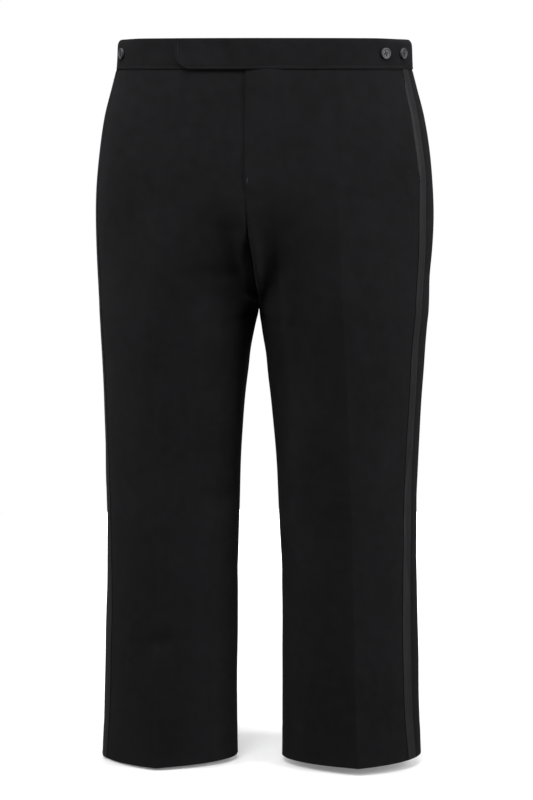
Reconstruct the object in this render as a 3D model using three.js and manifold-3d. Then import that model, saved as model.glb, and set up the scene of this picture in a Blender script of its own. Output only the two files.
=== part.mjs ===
// Formal trousers with a side stripe, filled out as on a hidden figure, in millimetres, +Z up.
// The front faces -Y and the wearer's left is +X. The origin is the centre of the waist opening,
// level with the top edge of the waistband, so every other height is negative.
import * as THREE from "three";
import Module from "manifold-3d";

// Driving sizes.
const SEAM_GAP = 0.3;
const CLOTH = 1.5;
const BAND_HEIGHT = 39;
const BAND_CLOTH = 2.2;
const BAND_PROUD = 0.8;
const CREASE_TOP = -190;
const CROTCH = -347;
const HEM = -946;
const HEM_RISE = { share: 0.026, from: -640, over: 300 };
const CROTCH_ROUND = 2.2;
const STRIPE_WIDTH = 16.5;
const STRIPE_CLOTH = 0.8;
const TAB_LENGTH = 92;
const TAB_CORNER = { length: 24, height: 19 };
const TAB_LIFT = BAND_CLOTH + SEAM_GAP;
const TAB_FADE = 30;
const UNDERLAP = { width: 22, bottom: -168, round: 60 };
const FLY = { lift: CLOTH + SEAM_GAP, flat: 31, fade: 20, bottom: -176, end: -205 };
const BUTTON = { radius: 7, thick: 3.2, rim: 1.5, dish: 0.9, hole: 1.0, spread: 1.9, z: -19 };

// Seat and hip: half width, depth in front and behind on the centre line, y of the sides,
// squareness, and how far the cloth is turned round the figure, so that the fly sits to the right.
const BODY = [
  { z: 0, width: 190, front: 117, back: 119, y: 0, square: 2.2, turn: 11 },
  { z: -39, width: 192.5, front: 119, back: 121, y: 0, square: 2.2, turn: 11 },
  { z: -60, width: 197.5, front: 122, back: 126, y: 0, square: 2.2, turn: 11 },
  { z: -100, width: 208, front: 125, back: 133, y: 0, square: 2.25, turn: 11 },
  { z: -150, width: 216, front: 128, back: 140, y: 1, square: 2.3, turn: 11 },
  { z: -200, width: 220, front: 129, back: 143, y: 2, square: 2.3, turn: 10 },
  { z: -260, width: 221, front: 129, back: 140, y: 2, square: 2.3, turn: 8 },
  { z: -347, width: 218, front: 127, back: 130, y: 0, square: 2.3, turn: 6 },
];

// A leg from side to side: x of the outer and inner side, x of the middle between the inner sides,
// and how far the outer sides lean to the wearer's left.
const LEG_WIDTH = [
  { z: -190, outer: 220, inner: 0.2, middle: -8, lean: 0 },
  { z: -347, outer: 217.3, inner: 0.6, middle: -7.5, lean: -1 },
  { z: -372, outer: 215.5, inner: 4.6, middle: -7, lean: -1.5 },
  { z: -410, outer: 213, inner: 10.5, middle: -6.5, lean: -2 },
  { z: -470, outer: 210, inner: 17.6, middle: -6, lean: -2.6 },
  { z: -550, outer: 207.5, inner: 23.6, middle: -5, lean: -3 },
  { z: -650, outer: 206, inner: 27.7, middle: -4, lean: -3 },
  { z: -760, outer: 208, inner: 29.7, middle: -3.7, lean: -2.8 },
  { z: -870, outer: 211, inner: 30.2, middle: -3.7, lean: -2.6 },
  { z: -946, outer: 214, inner: 30.2, middle: -3.7, lean: -2.6 },
];

// A leg from front to back: depth of both creases, y of the outer side and of the inseam, and how
// round the section is at the crease: 1 is a straight-sided point and 2 an ellipse.
const LEG_DEPTH = [
  { z: -190, front: 121, back: 138, side: 1, inseam: -25, round: 2 },
  { z: -347, front: 114.3, back: 119, side: 0, inseam: -28, round: 1.78 },
  { z: -372, front: 112.5, back: 114.5, side: -1, inseam: -28, round: 1.7 },
  { z: -410, front: 109.5, back: 107.5, side: -2, inseam: -27, round: 1.6 },
  { z: -470, front: 105.8, back: 98, side: -5, inseam: -26, round: 1.5 },
  { z: -550, front: 102, back: 87, side: -9, inseam: -25, round: 1.42 },
  { z: -650, front: 99, back: 76.5, side: -13, inseam: -24, round: 1.38 },
  { z: -760, front: 97, back: 68, side: -16, inseam: -24, round: 1.34 },
  { z: -870, front: 97, back: 62, side: -18, inseam: -24, round: 1.32 },
  { z: -946, front: 97, back: 58, side: -19, inseam: -24, round: 1.3 },
];

// x of the creases from the centre plane; the ridge is how far they stand out above the crotch.
const CREASE = [
  { z: -39, left: 96, right: 112, back: 100, ridge: 0 },
  { z: -140, left: 102, right: 119, back: 106, ridge: 0.8 },
  { z: -230, left: 107, right: 125, back: 110, ridge: 2 },
  { z: -347, left: 113, right: 130, back: 114, ridge: 3 },
  { z: -425, left: 117, right: 130, back: 116, ridge: 0 },
  { z: -560, left: 122, right: 126, back: 119, ridge: 0 },
  { z: -700, left: 126, right: 128, back: 122, ridge: 0 },
  { z: -946, left: 133, right: 133, back: 128, ridge: 0 },
];

// How far each outseam lies forward of the sides' middle.
const OUTSEAM = [
  { z: -39, forward: 19 },
  { z: -80, forward: 25 },
  { z: -125, forward: 29 },
  { z: -175, forward: 29 },
  { z: -230, forward: 33.5 },
  { z: -300, forward: 34 },
  { z: -347, forward: 35.5 },
  { z: -410, forward: 33.5 },
  { z: -470, forward: 32.5 },
  { z: -550, forward: 35 },
  { z: -650, forward: 38 },
  { z: -760, forward: 42 },
  { z: -870, forward: 42.8 },
  { z: -946, forward: 39 },
];

// The largest folds, as soft troughs on a side's front: from and to are x and z, on that side.
const FOLDS = [
  { side: 1, from: [34, -205], to: [46, -400], width: 15, depth: 4 },
  { side: -1, from: [12, -262], to: [82, -266], width: 13, depth: 3.5 },
  { side: -1, from: [14, -318], to: [60, -540], width: 19, depth: 5 },
  { side: -1, from: [118, -788], to: [138, -776], width: 12, depth: 2.5 },
];

const ROWS = {
  hip: [-39.3, -46, -56, -70, -90, -112, -135, -155, -172, -190],
  crotchSteps: 9,
  leg: [
    -353, -363, -379, -402, -432, -466, -505, -550, -595, -640, -685, -730, -765, -790, -815, -850,
    -888, -915, -935, HEM,
  ],
};
const COLUMNS = { seamToCrease: 7, creaseToStripe: 5, stripe: 2, backOuter: 6, backInner: 6 };

// Buttons by their x on the waistband, from the centre plane.
const BUTTONS = [
  { name: "button_left_front", side: 1, x: 160 },
  { name: "button_left_side", side: 1, x: 180.5 },
  { name: "button_right", side: -1, x: 177.5 },
];

const wasm = await Module();
wasm.setup();

const clamp = (v, low, high) => Math.min(high, Math.max(low, v));
const smooth = (v) => {
  const t = clamp(v, 0, 1);
  return t * t * (3 - 2 * t);
};
const mix = (a, b, t) => a + (b - a) * t;

// A column of a table at height z, as a smooth curve through its rows.
function at(table, column, z) {
  const last = table.length - 1;
  if (z >= table[0].z) return table[0][column];
  if (z <= table[last].z) return table[last][column];
  let i = 0;
  while (z < table[i + 1].z) i += 1;
  const slope = (j) => {
    const a = table[Math.max(0, j - 1)];
    const b = table[Math.min(last, j + 1)];
    return (b[column] - a[column]) / (b.z - a.z);
  };
  const [p, q] = [table[i], table[i + 1]];
  const h = q.z - p.z;
  const t = (z - p.z) / h;
  const t2 = t * t;
  const t3 = t2 * t;
  return (
    (2 * t3 - 3 * t2 + 1) * p[column] +
    (t3 - 2 * t2 + t) * h * slope(i) +
    (3 * t2 - 2 * t3) * q[column] +
    (t3 - t2) * h * slope(i + 1)
  );
}

// A quarter of a superellipse, from the crease or centre line round to the side.
function quarter(centre, reach, depth, roundCrease, roundSide, steps = 40) {
  const line = [];
  for (let i = 0; i <= steps; i += 1) {
    const a = (i / steps) * (Math.PI / 2);
    const x = centre[0] + reach * Math.sin(a) ** (2 / roundCrease);
    const y = centre[1] + depth * Math.abs(Math.cos(a)) ** (2 / roundSide);
    line.push([x, y]);
  }
  return line;
}

// A polyline cut in equal steps of length.
function resample(line, steps) {
  const run = [0];
  for (let i = 1; i < line.length; i += 1) {
    run.push(run[i - 1] + Math.hypot(line[i][0] - line[i - 1][0], line[i][1] - line[i - 1][1]));
  }
  const total = run[run.length - 1];
  const out = [];
  let j = 0;
  for (let i = 0; i <= steps; i += 1) {
    const want = (total * i) / steps;
    while (j < line.length - 2 && run[j + 1] < want) j += 1;
    const t = (want - run[j]) / Math.max(1e-9, run[j + 1] - run[j]);
    out.push([mix(line[j][0], line[j + 1][0], t), mix(line[j][1], line[j + 1][1], t)]);
  }
  return out;
}

// The part of a polyline between two places, each given as a test that turns true past it.
function part(line, from, to) {
  const cut = (isPast) => {
    for (let i = 1; i < line.length; i += 1) {
      if (isPast(line[i])) {
        let [low, high] = [0, 1];
        const point = (t) => [
          mix(line[i - 1][0], line[i][0], t),
          mix(line[i - 1][1], line[i][1], t),
        ];
        for (let k = 0; k < 30; k += 1) {
          const middle = (low + high) / 2;
          if (isPast(point(middle))) high = middle;
          else low = middle;
        }
        return [i, point(high)];
      }
    }
    return [line.length - 1, line[line.length - 1]];
  };
  const [i, first] = from ? cut(from) : [1, line[0]];
  const [j, end] = to ? cut(to) : [line.length - 1, line[line.length - 1]];
  return [first, ...line.slice(i, j), end];
}

// How much of a section is leg: 0 at the seat and 1 at the crotch. It comes late and fast at the
// centre seams, which meet at the crotch in a round, and evenly from the creases outwards.
function legShare(z, inwards) {
  const s = clamp((CREASE_TOP - z) / (CREASE_TOP - CROTCH), 0, 1);
  const seam = 1 - (1 - s ** CROTCH_ROUND) ** (1 / CROTCH_ROUND);
  return mix(smooth(s), seam, smooth(inwards ** 1.6));
}

// How far the right front runs on under the left one.
function underlap(z) {
  const t = clamp((UNDERLAP.bottom + UNDERLAP.round - z) / UNDERLAP.round, 0, 1);
  return UNDERLAP.width * Math.sqrt(1 - t * t);
}

// The seat section of one side, from the front seam round to the back seam, as one list a stretch.
function seatStretches(z, side, creaseX) {
  const [width, y, square] = [at(BODY, "width", z), at(BODY, "y", z), at(BODY, "square", z)];
  const front = quarter([0, y], width, -at(BODY, "front", z) - y, square, square);
  const back = quarter([0, y], width, at(BODY, "back", z) - y, square, square);
  const turn = side * at(BODY, "turn", z);
  const start = side < 0 ? -turn - underlap(z) : -turn;
  const across = (line) => line.slice(1, 16).map(([x, v]) => [-x, v]);
  const frontHalf = [...across(front).reverse(), ...front];
  const backHalf = [...across(back).reverse(), ...back].reverse();
  const round = [...frontHalf, ...backHalf.slice(1)];
  const whole = part(round, (p) => p[0] >= start, (p) => p[1] > y && p[0] <= turn);
  return cutStretches(whole, creaseX, -at(OUTSEAM, "forward", z) - turn, at(CREASE, "back", z));
}

// The leg section of one side, from the inseam round by the front, the outseam and the back.
function legStretches(z, side, creaseX) {
  const outer = at(LEG_WIDTH, "outer", z) + side * at(LEG_WIDTH, "lean", z);
  const middle = at(LEG_WIDTH, "middle", z);
  const inner = at(LEG_WIDTH, "inner", z) + side * middle;
  const [front, back] = [at(LEG_DEPTH, "front", z), at(LEG_DEPTH, "back", z)];
  const [y, inseam] = [at(LEG_DEPTH, "side", z), at(LEG_DEPTH, "inseam", z)];
  const round = at(LEG_DEPTH, "round", z);
  const backX = at(CREASE, "back", z);
  const flank = 1.95;
  const loop = [
    ...quarter([creaseX, inseam], inner - creaseX, -front - inseam, round, flank).reverse(),
    ...quarter([creaseX, y], outer - creaseX, -front - y, round, flank).slice(1),
    ...quarter([backX, y], outer - backX, back - y, round, flank).reverse().slice(1),
    ...quarter([backX, inseam], inner - backX, back - inseam, round, flank).slice(1),
  ];
  const turn = side * Math.min(at(BODY, "turn", z), -middle);
  return cutStretches(loop, creaseX, -at(OUTSEAM, "forward", z) - turn, backX);
}

// Cuts a section at the front crease, the stripe's front edge, the outseam and the back crease.
function cutStretches(line, creaseX, seamY, backX) {
  const pastCrease = (p) => p[0] >= creaseX - 1e-6;
  const pastSeam = (p) => p[0] > creaseX && p[1] >= seamY;
  const rest = part(line, pastCrease, null);
  const toSeam = part(rest, null, pastSeam);
  const after = part(rest, pastSeam, null);
  const pastBack = (p) => p[0] <= backX + 1e-6;
  let length = 0;
  for (let i = 1; i < toSeam.length; i += 1) {
    length += Math.hypot(toSeam[i][0] - toSeam[i - 1][0], toSeam[i][1] - toSeam[i - 1][1]);
  }
  const fine = resample(toSeam, 400);
  const edge = Math.round(400 * (1 - STRIPE_WIDTH / length));
  return [
    resample(part(line, null, pastCrease), COLUMNS.seamToCrease),
    resample(fine.slice(0, edge + 1), COLUMNS.creaseToStripe),
    resample(fine.slice(edge), COLUMNS.stripe),
    resample(part(after, null, pastBack), COLUMNS.backOuter),
    resample(part(after, pastBack, null), COLUMNS.backInner),
  ];
}

// One side's row of points at height z. side is 1 for the wearer's left and -1 for the right.
function row(side, z) {
  const creaseX = at(CREASE, side > 0 ? "left" : "right", z);
  const leg = z < CREASE_TOP ? legStretches(z, side, creaseX) : null;
  const seat = z > CROTCH ? seatStretches(z, side, creaseX) : null;
  const line = [];
  (seat || leg).forEach((stretch, k) => {
    stretch.forEach((p, i) => {
      if (k > 0 && i === 0) return;
      const f = i / (stretch.length - 1);
      const inwards = k === 0 ? 1 - f : k === 4 ? f : 0;
      const share = legShare(z, inwards);
      const [a, b] = [seat ? seat[k][i] : leg[k][i], leg ? leg[k][i] : p];
      line.push([mix(a[0], b[0], share), mix(a[1], b[1], share)]);
    });
  });
  const rise = HEM_RISE.share * smooth((HEM_RISE.from - z) / HEM_RISE.over);
  return line.map(([x, y]) => new THREE.Vector3(side * x, y, z + rise * side * x));
}

const HEIGHTS = [...ROWS.hip];
for (let k = 1; k <= ROWS.crotchSteps; k += 1) {
  const s = Math.sin(((k / ROWS.crotchSteps) * Math.PI) / 2);
  HEIGHTS.push(mix(CREASE_TOP, CROTCH, s));
}
HEIGHTS.push(...ROWS.leg);

// Outward directions of a side's grid. Below the crotch the two ends of a row meet at the inseam.
// Above it the edges at the centre seams are kept from leaning across to the other side.
function normals(grid, side) {
  const last = grid[0].length - 1;
  return grid.map((points, i) =>
    points.map((p, j) => {
      const round = HEIGHTS[i] <= CROTCH;
      const before = j > 0 ? points[j - 1] : round ? points[last - 1] : p;
      const after = j < last ? points[j + 1] : round ? points[1] : p;
      const above = grid[Math.max(0, i - 1)][j];
      const below = grid[Math.min(grid.length - 1, i + 1)][j];
      const along = after.clone().sub(before);
      const down = below.clone().sub(above);
      const out = along.cross(down).multiplyScalar(-side).normalize();
      if (!round && (j === 0 || j === last)) out.x = side * Math.min(0, side * out.x);
      return out.normalize();
    }),
  );
}

// How far the troughs take a point of one side's front inwards.
function foldDepth(side, p) {
  let depth = 0;
  for (const fold of FOLDS) {
    if (fold.side !== side) continue;
    const [ax, az] = fold.from;
    const [dx, dz] = [fold.to[0] - ax, fold.to[1] - az];
    const t = ((p.x * side - ax) * dx + (p.z - az) * dz) / (dx * dx + dz * dz);
    const k = clamp(t, 0, 1);
    const off = Math.hypot(p.x * side - ax - k * dx, p.z - az - k * dz) / fold.width;
    const fade = Math.sin(Math.PI * clamp(0.12 + 0.76 * t, 0, 1));
    depth += fold.depth * fade * Math.exp(-off * off);
  }
  return depth;
}

// The finished outer grid of one side, with the crease ridge, the folds and the lifted fly.
function sideGrid(side) {
  const flat = HEIGHTS.map((z) => row(side, z));
  const out = normals(flat, side);
  const creaseColumn = COLUMNS.seamToCrease;
  const outseam = creaseColumn + COLUMNS.creaseToStripe + COLUMNS.stripe;
  const grid = flat.map((points, i) =>
    points.map((p, j) => {
      const z = HEIGHTS[i];
      let move = 0;
      if (j < outseam) {
        const off = (p.x - points[creaseColumn].x) / 16;
        move += at(CREASE, "ridge", z) * Math.exp(-off * off);
        move -= foldDepth(side, p) * smooth((outseam - j) / 3);
      }
      if (side > 0 && j < creaseColumn) {
        const across = 1 - smooth((p.x - points[0].x - FLY.flat) / FLY.fade);
        move += FLY.lift * across * smooth((z - FLY.end) / (FLY.bottom - FLY.end));
      }
      return p.clone().addScaledVector(out[i][j], move);
    }),
  );
  return { grid, out: normals(grid, side), outseam, last: flat[0].length - 1 };
}

// Columns from..to of a grid, its two edge columns drawn in by half a seam gap.
function columns(source, from, to) {
  return source.grid.map((points, i) => {
    const list = [];
    for (let j = from; j <= to; j += 1) {
      const p = points[j].clone();
      const next = j === from ? points[j + 1] : j === to ? points[j - 1] : null;
      if (next) p.addScaledVector(next.clone().sub(p).normalize(), SEAM_GAP / 2);
      list.push({ p, n: source.out[i][j] });
    }
    return list;
  });
}

// A closed wall from rows of points with outward directions, between two distances from them.
function wall(rows, outerAt, innerAt, flip) {
  const [high, wide] = [rows.length, rows[0].length];
  const positions = [];
  for (const distance of [outerAt, innerAt]) {
    rows.forEach((points, i) =>
      points.forEach(({ p, n }, j) => {
        const d = typeof distance === "function" ? distance(i, j) : distance;
        positions.push(p.x + n.x * d, p.y + n.y * d, p.z + n.z * d);
      }),
    );
  }
  const faces = [];
  const id = (layer, i, j) => layer * high * wide + i * wide + j;
  const quad = (a, b, c, d) => faces.push(...(flip ? [a, c, b, a, d, c] : [a, b, c, a, c, d]));
  for (let i = 0; i < high - 1; i += 1) {
    for (let j = 0; j < wide - 1; j += 1) {
      quad(id(0, i, j), id(0, i + 1, j), id(0, i + 1, j + 1), id(0, i, j + 1));
      quad(id(1, i, j), id(1, i, j + 1), id(1, i + 1, j + 1), id(1, i + 1, j));
    }
    quad(id(0, i, 0), id(1, i, 0), id(1, i + 1, 0), id(0, i + 1, 0));
    quad(id(0, i + 1, wide - 1), id(1, i + 1, wide - 1), id(1, i, wide - 1), id(0, i, wide - 1));
  }
  for (let j = 0; j < wide - 1; j += 1) {
    quad(id(0, 0, j + 1), id(1, 0, j + 1), id(1, 0, j), id(0, 0, j));
    quad(
      id(0, high - 1, j),
      id(1, high - 1, j),
      id(1, high - 1, j + 1),
      id(0, high - 1, j + 1),
    );
  }
  const geometry = new THREE.BufferGeometry();
  geometry.setAttribute("position", new THREE.Float32BufferAttribute(positions, 3));
  geometry.setIndex(faces);
  geometry.computeVertexNormals();
  return geometry;
}

const group = new THREE.Group();
function add(name, geometry, colour, roughness) {
  const material = new THREE.MeshStandardMaterial({ color: colour, roughness });
  const mesh = new THREE.Mesh(geometry, material);
  mesh.name = name;
  group.add(mesh);
}

const CLOTH_COLOUR = 0x1c1c1e;
const SATIN_COLOUR = 0x2c2d31;
const BUTTON_COLOUR = 0x3a3a3d;

// The four panels and the two stripes.
for (const side of [1, -1]) {
  const name = side > 0 ? "left" : "right";
  const source = sideGrid(side);
  const front = columns(source, 0, source.outseam);
  const back = columns(source, source.outseam, source.last);
  add(`front_${name}`, wall(front, 0, -CLOTH, side < 0), CLOTH_COLOUR, 0.85);
  add(`back_${name}`, wall(back, 0, -CLOTH, side < 0), CLOTH_COLOUR, 0.85);
  const skin = front.map((points) => points.slice(-COLUMNS.stripe - 1));
  const outer = SEAM_GAP + STRIPE_CLOTH;
  add(`stripe_${name}`, wall(skin, outer, SEAM_GAP, side < 0), SATIN_COLOUR, 0.35);
}

// A point on the waist at height z, by length along it from the centre front, positive to the left.
function waistLine(z) {
  const [width, y, square] = [at(BODY, "width", z), at(BODY, "y", z), at(BODY, "square", z)];
  const front = quarter([0, y], width, -at(BODY, "front", z) - y, square, square, 120);
  const back = quarter([0, y], width, at(BODY, "back", z) - y, square, square, 120);
  const line = [...front, ...back.reverse().slice(1)];
  const run = [0];
  for (let i = 1; i < line.length; i += 1) {
    run.push(run[i - 1] + Math.hypot(line[i][0] - line[i - 1][0], line[i][1] - line[i - 1][1]));
  }
  const half = run[run.length - 1];
  const place = (s) => {
    const turned = s - at(BODY, "turn", z);
    const along = turned < -half ? turned + 2 * half : turned;
    const want = Math.abs(along);
    let j = 0;
    while (j < line.length - 2 && run[j + 1] < want) j += 1;
    const t = (want - run[j]) / (run[j + 1] - run[j]);
    const [a, b] = [line[j], line[j + 1]];
    const sign = along < 0 ? -1 : 1;
    const p = new THREE.Vector3(sign * mix(a[0], b[0], t), mix(a[1], b[1], t), z);
    const n = new THREE.Vector3(sign * (b[1] - a[1]), a[0] - b[0], 0).normalize();
    return { p, n };
  };
  return { place, half };
}

// Where the tab ends at height z below the top edge, with its lower corner rounded.
function tabEnd(z) {
  const t = clamp((-z - (BAND_HEIGHT - TAB_CORNER.height)) / TAB_CORNER.height, 0, 1);
  return -TAB_LENGTH + TAB_CORNER.length * (1 - Math.sqrt(1 - t * t));
}

const BAND_ROWS = [0, -8, -20, -26, -31, -35, -37.6, -BAND_HEIGHT];
const LEFT_STEPS = { tab: 8, fade: 4, rest: 20 };
const leftBand = BAND_ROWS.map((z) => {
  const { place, half } = waistLine(z);
  const stops = [];
  const end = tabEnd(z);
  for (let i = 0; i < LEFT_STEPS.tab; i += 1) stops.push(mix(end, 0, i / LEFT_STEPS.tab));
  for (let i = 0; i < LEFT_STEPS.fade; i += 1) stops.push((TAB_FADE * i) / LEFT_STEPS.fade);
  for (let i = 0; i <= LEFT_STEPS.rest; i += 1) {
    stops.push(mix(TAB_FADE, half - SEAM_GAP / 2, i / LEFT_STEPS.rest));
  }
  return stops.map((s) => ({ ...place(s), s }));
});
const bandLift = (s) => BAND_PROUD + TAB_LIFT * (1 - smooth(s / TAB_FADE));
const leftOuter = (i, j) => bandLift(leftBand[i][j].s);
add(
  "waistband_left",
  wall(leftBand, leftOuter, (i, j) => leftOuter(i, j) - BAND_CLOTH, false),
  CLOTH_COLOUR,
  0.85,
);
const RIGHT_STEPS = 24;
const rightBand = BAND_ROWS.map((z) => {
  const { place, half } = waistLine(z);
  const stops = [];
  for (let i = 0; i <= RIGHT_STEPS; i += 1) {
    stops.push(mix(-1, SEAM_GAP / 2 - half, i / RIGHT_STEPS));
  }
  return stops.map((s) => place(s));
});
add(
  "waistband_right",
  wall(rightBand, BAND_PROUD, BAND_PROUD - BAND_CLOTH, true),
  CLOTH_COLOUR,
  0.85,
);

// A four-hole button about the z axis, its back at 0: a turned body with a raised rim, less holes.
function buttonGeometry() {
  const { radius, thick, rim, dish, hole, spread } = BUTTON;
  const profile = [
    [0, 0],
    [radius - 1.2, 0],
    [radius, 1.1],
    [radius, thick - 0.7],
    [radius - 0.5, thick],
    [radius - rim, thick],
    [radius - rim - 0.8, thick - dish],
    [0, thick - dish],
  ].map(([r, h]) => new THREE.Vector2(r, h));
  const solid = (geometry) => {
    const plain = geometry.index ? geometry.toNonIndexed() : geometry;
    const at3 = plain.attributes.position;
    const [vertices, indices, seen] = [[], [], new Map()];
    for (let i = 0; i < at3.count; i += 1) {
      const v = [at3.getX(i), at3.getY(i), at3.getZ(i)];
      const key = v.map((c) => Math.round(c * 1e4)).join();
      if (!seen.has(key)) {
        seen.set(key, vertices.length / 3);
        vertices.push(...v);
      }
      indices.push(seen.get(key));
    }
    const faces = [];
    for (let i = 0; i < indices.length; i += 3) {
      const [a, b, c] = indices.slice(i, i + 3);
      if (a !== b && b !== c && c !== a) faces.push(a, b, c);
    }
    return new wasm.Manifold(
      new wasm.Mesh({
        numProp: 3,
        vertProperties: new Float32Array(vertices),
        triVerts: new Uint32Array(faces),
      }),
    );
  };
  const lathe = new THREE.LatheGeometry(profile, 24);
  lathe.rotateX(Math.PI / 2);
  let body = solid(lathe);
  for (const [x, y] of [
    [1, 1],
    [-1, 1],
    [-1, -1],
    [1, -1],
  ]) {
    const pin = new THREE.CylinderGeometry(hole, hole, thick + 4, 8);
    pin.rotateX(Math.PI / 2);
    pin.translate(x * spread, y * spread, thick / 2);
    body = body.subtract(solid(pin));
  }
  const mesh = body.getMesh();
  const geometry = new THREE.BufferGeometry();
  geometry.setAttribute("position", new THREE.Float32BufferAttribute(mesh.vertProperties, 3));
  geometry.setIndex([...mesh.triVerts]);
  geometry.computeVertexNormals();
  return geometry;
}

const button = buttonGeometry();
for (const { name, side, x } of BUTTONS) {
  const { place } = waistLine(BUTTON.z);
  let s = 0;
  while (side * place(side * s).p.x < x) s += 0.25;
  const { p, n } = place(side * s);
  const turn = new THREE.Quaternion().setFromUnitVectors(new THREE.Vector3(0, 0, 1), n);
  const seat = BAND_PROUD + SEAM_GAP + 0.3;
  const geometry = button.clone().applyQuaternion(turn);
  geometry.translate(p.x + n.x * seat, p.y + n.y * seat, p.z);
  add(name, geometry, BUTTON_COLOUR, 0.4);
}

export default group;
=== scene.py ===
"""Formal trousers with a satin side stripe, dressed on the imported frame, in metres.

The cloth is worked out from the same section tables as the part's source, in millimetres, with
many more points, and gets its smaller folds, seams, stitching and finishes here.
"""

import math

import bpy
import numpy as np
from bpy.props import FloatProperty, FloatVectorProperty, PointerProperty
from mathutils import Matrix, Quaternion, Vector


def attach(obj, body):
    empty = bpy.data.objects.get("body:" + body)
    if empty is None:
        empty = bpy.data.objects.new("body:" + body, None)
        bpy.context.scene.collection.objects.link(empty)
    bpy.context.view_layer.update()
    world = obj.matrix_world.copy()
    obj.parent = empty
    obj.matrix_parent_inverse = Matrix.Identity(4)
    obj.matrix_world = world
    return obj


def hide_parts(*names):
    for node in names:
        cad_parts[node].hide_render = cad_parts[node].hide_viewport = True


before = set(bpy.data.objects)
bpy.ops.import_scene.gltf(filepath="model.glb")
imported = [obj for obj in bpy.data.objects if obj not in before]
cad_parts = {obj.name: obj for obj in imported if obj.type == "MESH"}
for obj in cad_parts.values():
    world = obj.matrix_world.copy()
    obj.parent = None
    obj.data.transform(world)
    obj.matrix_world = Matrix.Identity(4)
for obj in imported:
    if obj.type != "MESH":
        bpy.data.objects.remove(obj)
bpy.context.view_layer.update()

bl_info = {
    "name": "Formal trousers",
    "version": (1, 0, 0),
    "blender": (4, 5, 0),
    "location": "3D View > Sidebar > Trousers",
    "description": "Builds a pair of filled-out formal trousers and a plain studio",
    "category": "Add Mesh",
}

MM = 0.001

# Driving sizes of the cut, in millimetres, as in the part's source.
BAND_HEIGHT = 39.0
BAND_PROUD = 0.8
CREASE_TOP = -190.0
CROTCH = -347.0
HEM = -946.0
HEM_RISE = {"share": 0.026, "from": -640.0, "over": 300.0}
CROTCH_ROUND = 2.2
# A seat section turns into a leg section between the crease's top and the crotch, and away from the
# centre seams this much lower.
BLEND_BELOW = 62.0
# How square a leg section is towards its sides; 2 would be an ellipse.
FLANK = 1.95
STRIPE_WIDTH = 16.5
TAB_LENGTH = 92.0
TAB_CORNER = {"length": 24.0, "height": 19.0}
TAB_LIFT = 2.5
TAB_FADE = 30.0
FLY = {"lift": 1.8, "flat": 31.0, "fade": 20.0, "bottom": -176.0, "end": -205.0}
UNDERLAP = {"width": 22.0, "bottom": -168.0, "round": 60.0}
POCKET = {"top": -52.0, "bottom": -176.0}

# The floor lies this far below the hem, in millimetres; the lights face a point in metres.
FLOOR_DROP = 7.0
LIGHT_TARGET = (0, 0, -0.42)


def table(names, *rows):
    """A table of rows by height, as named columns."""
    columns = names.split()
    return {name: [row[i] for row in rows] for i, name in enumerate(columns)}


BODY = table(
    "z width front back y square turn",
    (0, 190, 117, 119, 0, 2.2, 11),
    (-39, 192.5, 119, 121, 0, 2.2, 11),
    (-60, 197.5, 122, 126, 0, 2.2, 11),
    (-100, 208, 125, 133, 0, 2.25, 11),
    (-150, 216, 128, 140, 1, 2.3, 11),
    (-200, 220, 129, 143, 2, 2.3, 10),
    (-260, 221, 129, 140, 2, 2.3, 8),
    (-347, 218, 127, 130, 0, 2.3, 6),
)
LEG_WIDTH = table(
    "z outer inner middle lean",
    (-190, 220, 0.2, -8, 0),
    (-347, 217.3, 0.6, -7.5, -1),
    (-372, 215.5, 4.6, -7, -1.5),
    (-410, 213, 10.5, -6.5, -2),
    (-470, 210, 17.6, -6, -2.6),
    (-550, 207.5, 23.6, -5, -3),
    (-650, 206, 27.7, -4, -3),
    (-760, 208, 29.7, -3.7, -2.8),
    (-870, 211, 30.2, -3.7, -2.6),
    (-946, 214, 30.2, -3.7, -2.6),
)
LEG_DEPTH = table(
    "z front back side inseam round",
    (-190, 121, 138, 1, -25, 2),
    (-347, 114.3, 119, 0, -28, 1.78),
    (-372, 112.5, 114.5, -1, -28, 1.7),
    (-410, 109.5, 107.5, -2, -27, 1.6),
    (-470, 105.8, 98, -5, -26, 1.5),
    (-550, 102, 87, -9, -25, 1.42),
    (-650, 99, 76.5, -13, -24, 1.38),
    (-760, 97, 68, -16, -24, 1.34),
    (-870, 97, 62, -18, -24, 1.32),
    (-946, 97, 58, -19, -24, 1.3),
)
CREASE = table(
    "z left right back ridge",
    (-39, 96, 112, 100, 0),
    (-140, 102, 119, 106, 0.8),
    (-230, 107, 125, 110, 2),
    (-347, 113, 130, 114, 3),
    (-425, 117, 130, 116, 0),
    (-560, 122, 126, 119, 0),
    (-700, 126, 128, 122, 0),
    (-946, 133, 133, 128, 0),
)

# How far the centre seams and the inseams stand to the wearer's left, as worn.
CENTRE = table(
    "z front back",
    (-250, 0, 0),
    (-288, 3.4, 0.5),
    (-318, 5.2, 1.4),
    (-335, 5.0, 2.4),
    (-347, 3.4, 3.4),
    (-380, 1.4, 1.4),
    (-440, 0, 0),
)

# How far each outseam lies forward of the sides' middle.
OUTSEAM = table(
    "z forward",
    (-39, 19),
    (-80, 25),
    (-125, 29),
    (-175, 29),
    (-230, 33.5),
    (-300, 34),
    (-347, 35.5),
    (-410, 33.5),
    (-470, 32.5),
    (-550, 35),
    (-650, 38),
    (-760, 42),
    (-870, 42.8),
    (-946, 39),
)

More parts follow.
